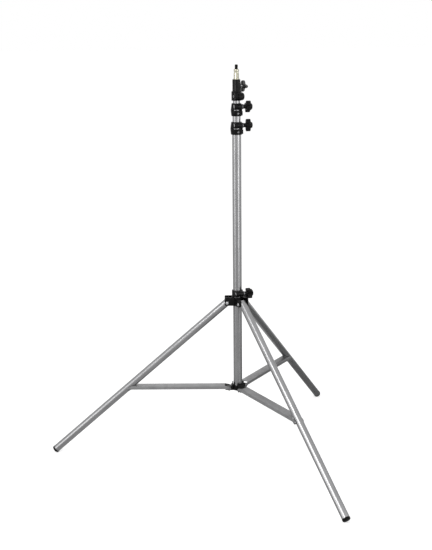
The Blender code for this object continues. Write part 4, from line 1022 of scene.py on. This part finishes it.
put_down()
bpy.ops.mesh.primitive_plane_add(size=FLOOR_SPAN, location=(0.0, 0.0, -FLOOR_DROP))
floor = bpy.context.object
floor.name = "studio_floor"
material = bpy.data.materials.new("pale_floor")
material.use_nodes = True
nodes, links = material.node_tree.nodes, material.node_tree.links
nodes.clear()
output = nodes.new("ShaderNodeOutputMaterial")
matt = nodes.new("ShaderNodeBsdfDiffuse")
matt.inputs["Color"].default_value = FLOOR_TONE
glow = nodes.new("ShaderNodeEmission")
strength = worked(nodes, links, "MULTIPLY", shown_white(nodes, links), FLOOR_GLOW)
links.new(strength, glow.inputs["Strength"])
both = nodes.new("ShaderNodeAddShader")
links.new(matt.outputs["BSDF"], both.inputs[0])
links.new(glow.outputs["Emission"], both.inputs[1])
links.new(both.outputs["Shader"], output.inputs["Surface"])
floor.data.materials.append(material)


def softbox(name, place, target, width, height, power):
    """A soft rectangular lamp that faces its target."""
    lamp = bpy.data.lights.new(name, "AREA")
    lamp.shape = "RECTANGLE"
    lamp.size = width
    lamp.size_y = height
    lamp.energy = power
    stand = bpy.data.objects.new(name, lamp)
    bpy.context.scene.collection.objects.link(stand)
    stand.location = place
    stand.rotation_euler = (Vector(target) - Vector(place)).to_track_quat("-Z", "Y").to_euler()


def flag(name, place, target, width, height, tone):
    """A card beside the set, darker or lighter than the room, seen only in the gloss."""
    put_down()
    bpy.ops.mesh.primitive_plane_add(size=1.0)
    card = bpy.context.object
    card.name = name
    card.scale = (width, height, 1.0)
    card.location = place
    card.rotation_euler = (Vector(target) - Vector(place)).to_track_quat("Z", "Y").to_euler()
    card.visible_camera = False
    card.visible_diffuse = False
    card.visible_shadow = False
    card.visible_transmission = False
    paint = bpy.data.materials.new(name)
    paint.use_nodes = True
    nodes, links = paint.node_tree.nodes, paint.node_tree.links
    nodes.clear()
    output = nodes.new("ShaderNodeOutputMaterial")
    glow = nodes.new("ShaderNodeEmission")
    glow.inputs["Color"].default_value = (tone, tone, tone, 1.0)
    links.new(glow.outputs["Emission"], output.inputs["Surface"])
    card.data.materials.append(paint)


MIDDLE = (0.15, 0.0, 0.6)

# Lamp or card, its place, what it faces, width, height, and power or tone
softbox("key_light", (-1.6, -2.2, 2.6), MIDDLE, 1.4, 1.4, 42.0)
softbox("fill_light", (2.4, -1.8, 1.4), MIDDLE, 1.6, 1.6, 16.0)
flag("left_flag", (-2.6, 1.6, 0.9), MIDDLE, 2.2, 4.0, 0.75)
flag("right_flag", (3.0, 1.6, 0.9), MIDDLE, 2.2, 4.0, 0.75)
flag("floor_card", (0.15, 0.0, 0.0004), (0.15, 0.0, 1.0), 12.0, 12.0, 0.62)
flag("back_corner_card", (0.97, 0.55, 0.001), (0.97, 0.55, 1.0), 1.4, 1.3, 0.25)
flag("back_card", (0.75, 2.0, 0.8), (0.75, 0.0, 0.8), 1.2, 1.0, 0.5)
flag("left_reflector", (-1.95, -1.36, 0.6), MIDDLE, 0.8, 1.1, 3.2)
flag("right_reflector", (1.82, -1.86, 0.6), MIDDLE, 0.8, 1.1, 3.6)

CAMERA_DOWN = radians(13.58)
CAMERA_ROLL = radians(-0.567)
CAMERA_TURN = radians(0.75)
FROM_COLUMN = (-0.0239, -3.3557, 1.4093)

camera_data = bpy.data.cameras.new("camera")
camera_data.sensor_fit = "AUTO"
camera_data.sensor_width = 36.0
camera_data.lens = 71.07
camera = bpy.data.objects.new("camera", camera_data)
bpy.context.scene.collection.objects.link(camera)
back = Vector((0.0, -cos(CAMERA_DOWN), sin(CAMERA_DOWN)))
level = Vector((1.0, 0.0, 0.0))
up = Vector((0.0, sin(CAMERA_DOWN), cos(CAMERA_DOWN)))
right = cos(CAMERA_ROLL) * level + sin(CAMERA_ROLL) * up
top_side = -sin(CAMERA_ROLL) * level + cos(CAMERA_ROLL) * up
axes = Matrix((right, top_side, back)).transposed().to_4x4()
seat = COLUMN @ Matrix.Translation(FROM_COLUMN) @ turned(CAMERA_TURN)
camera.matrix_world = seat @ axes
bpy.context.scene.camera = camera
bpy.context.scene.view_settings.view_transform = "Standard"
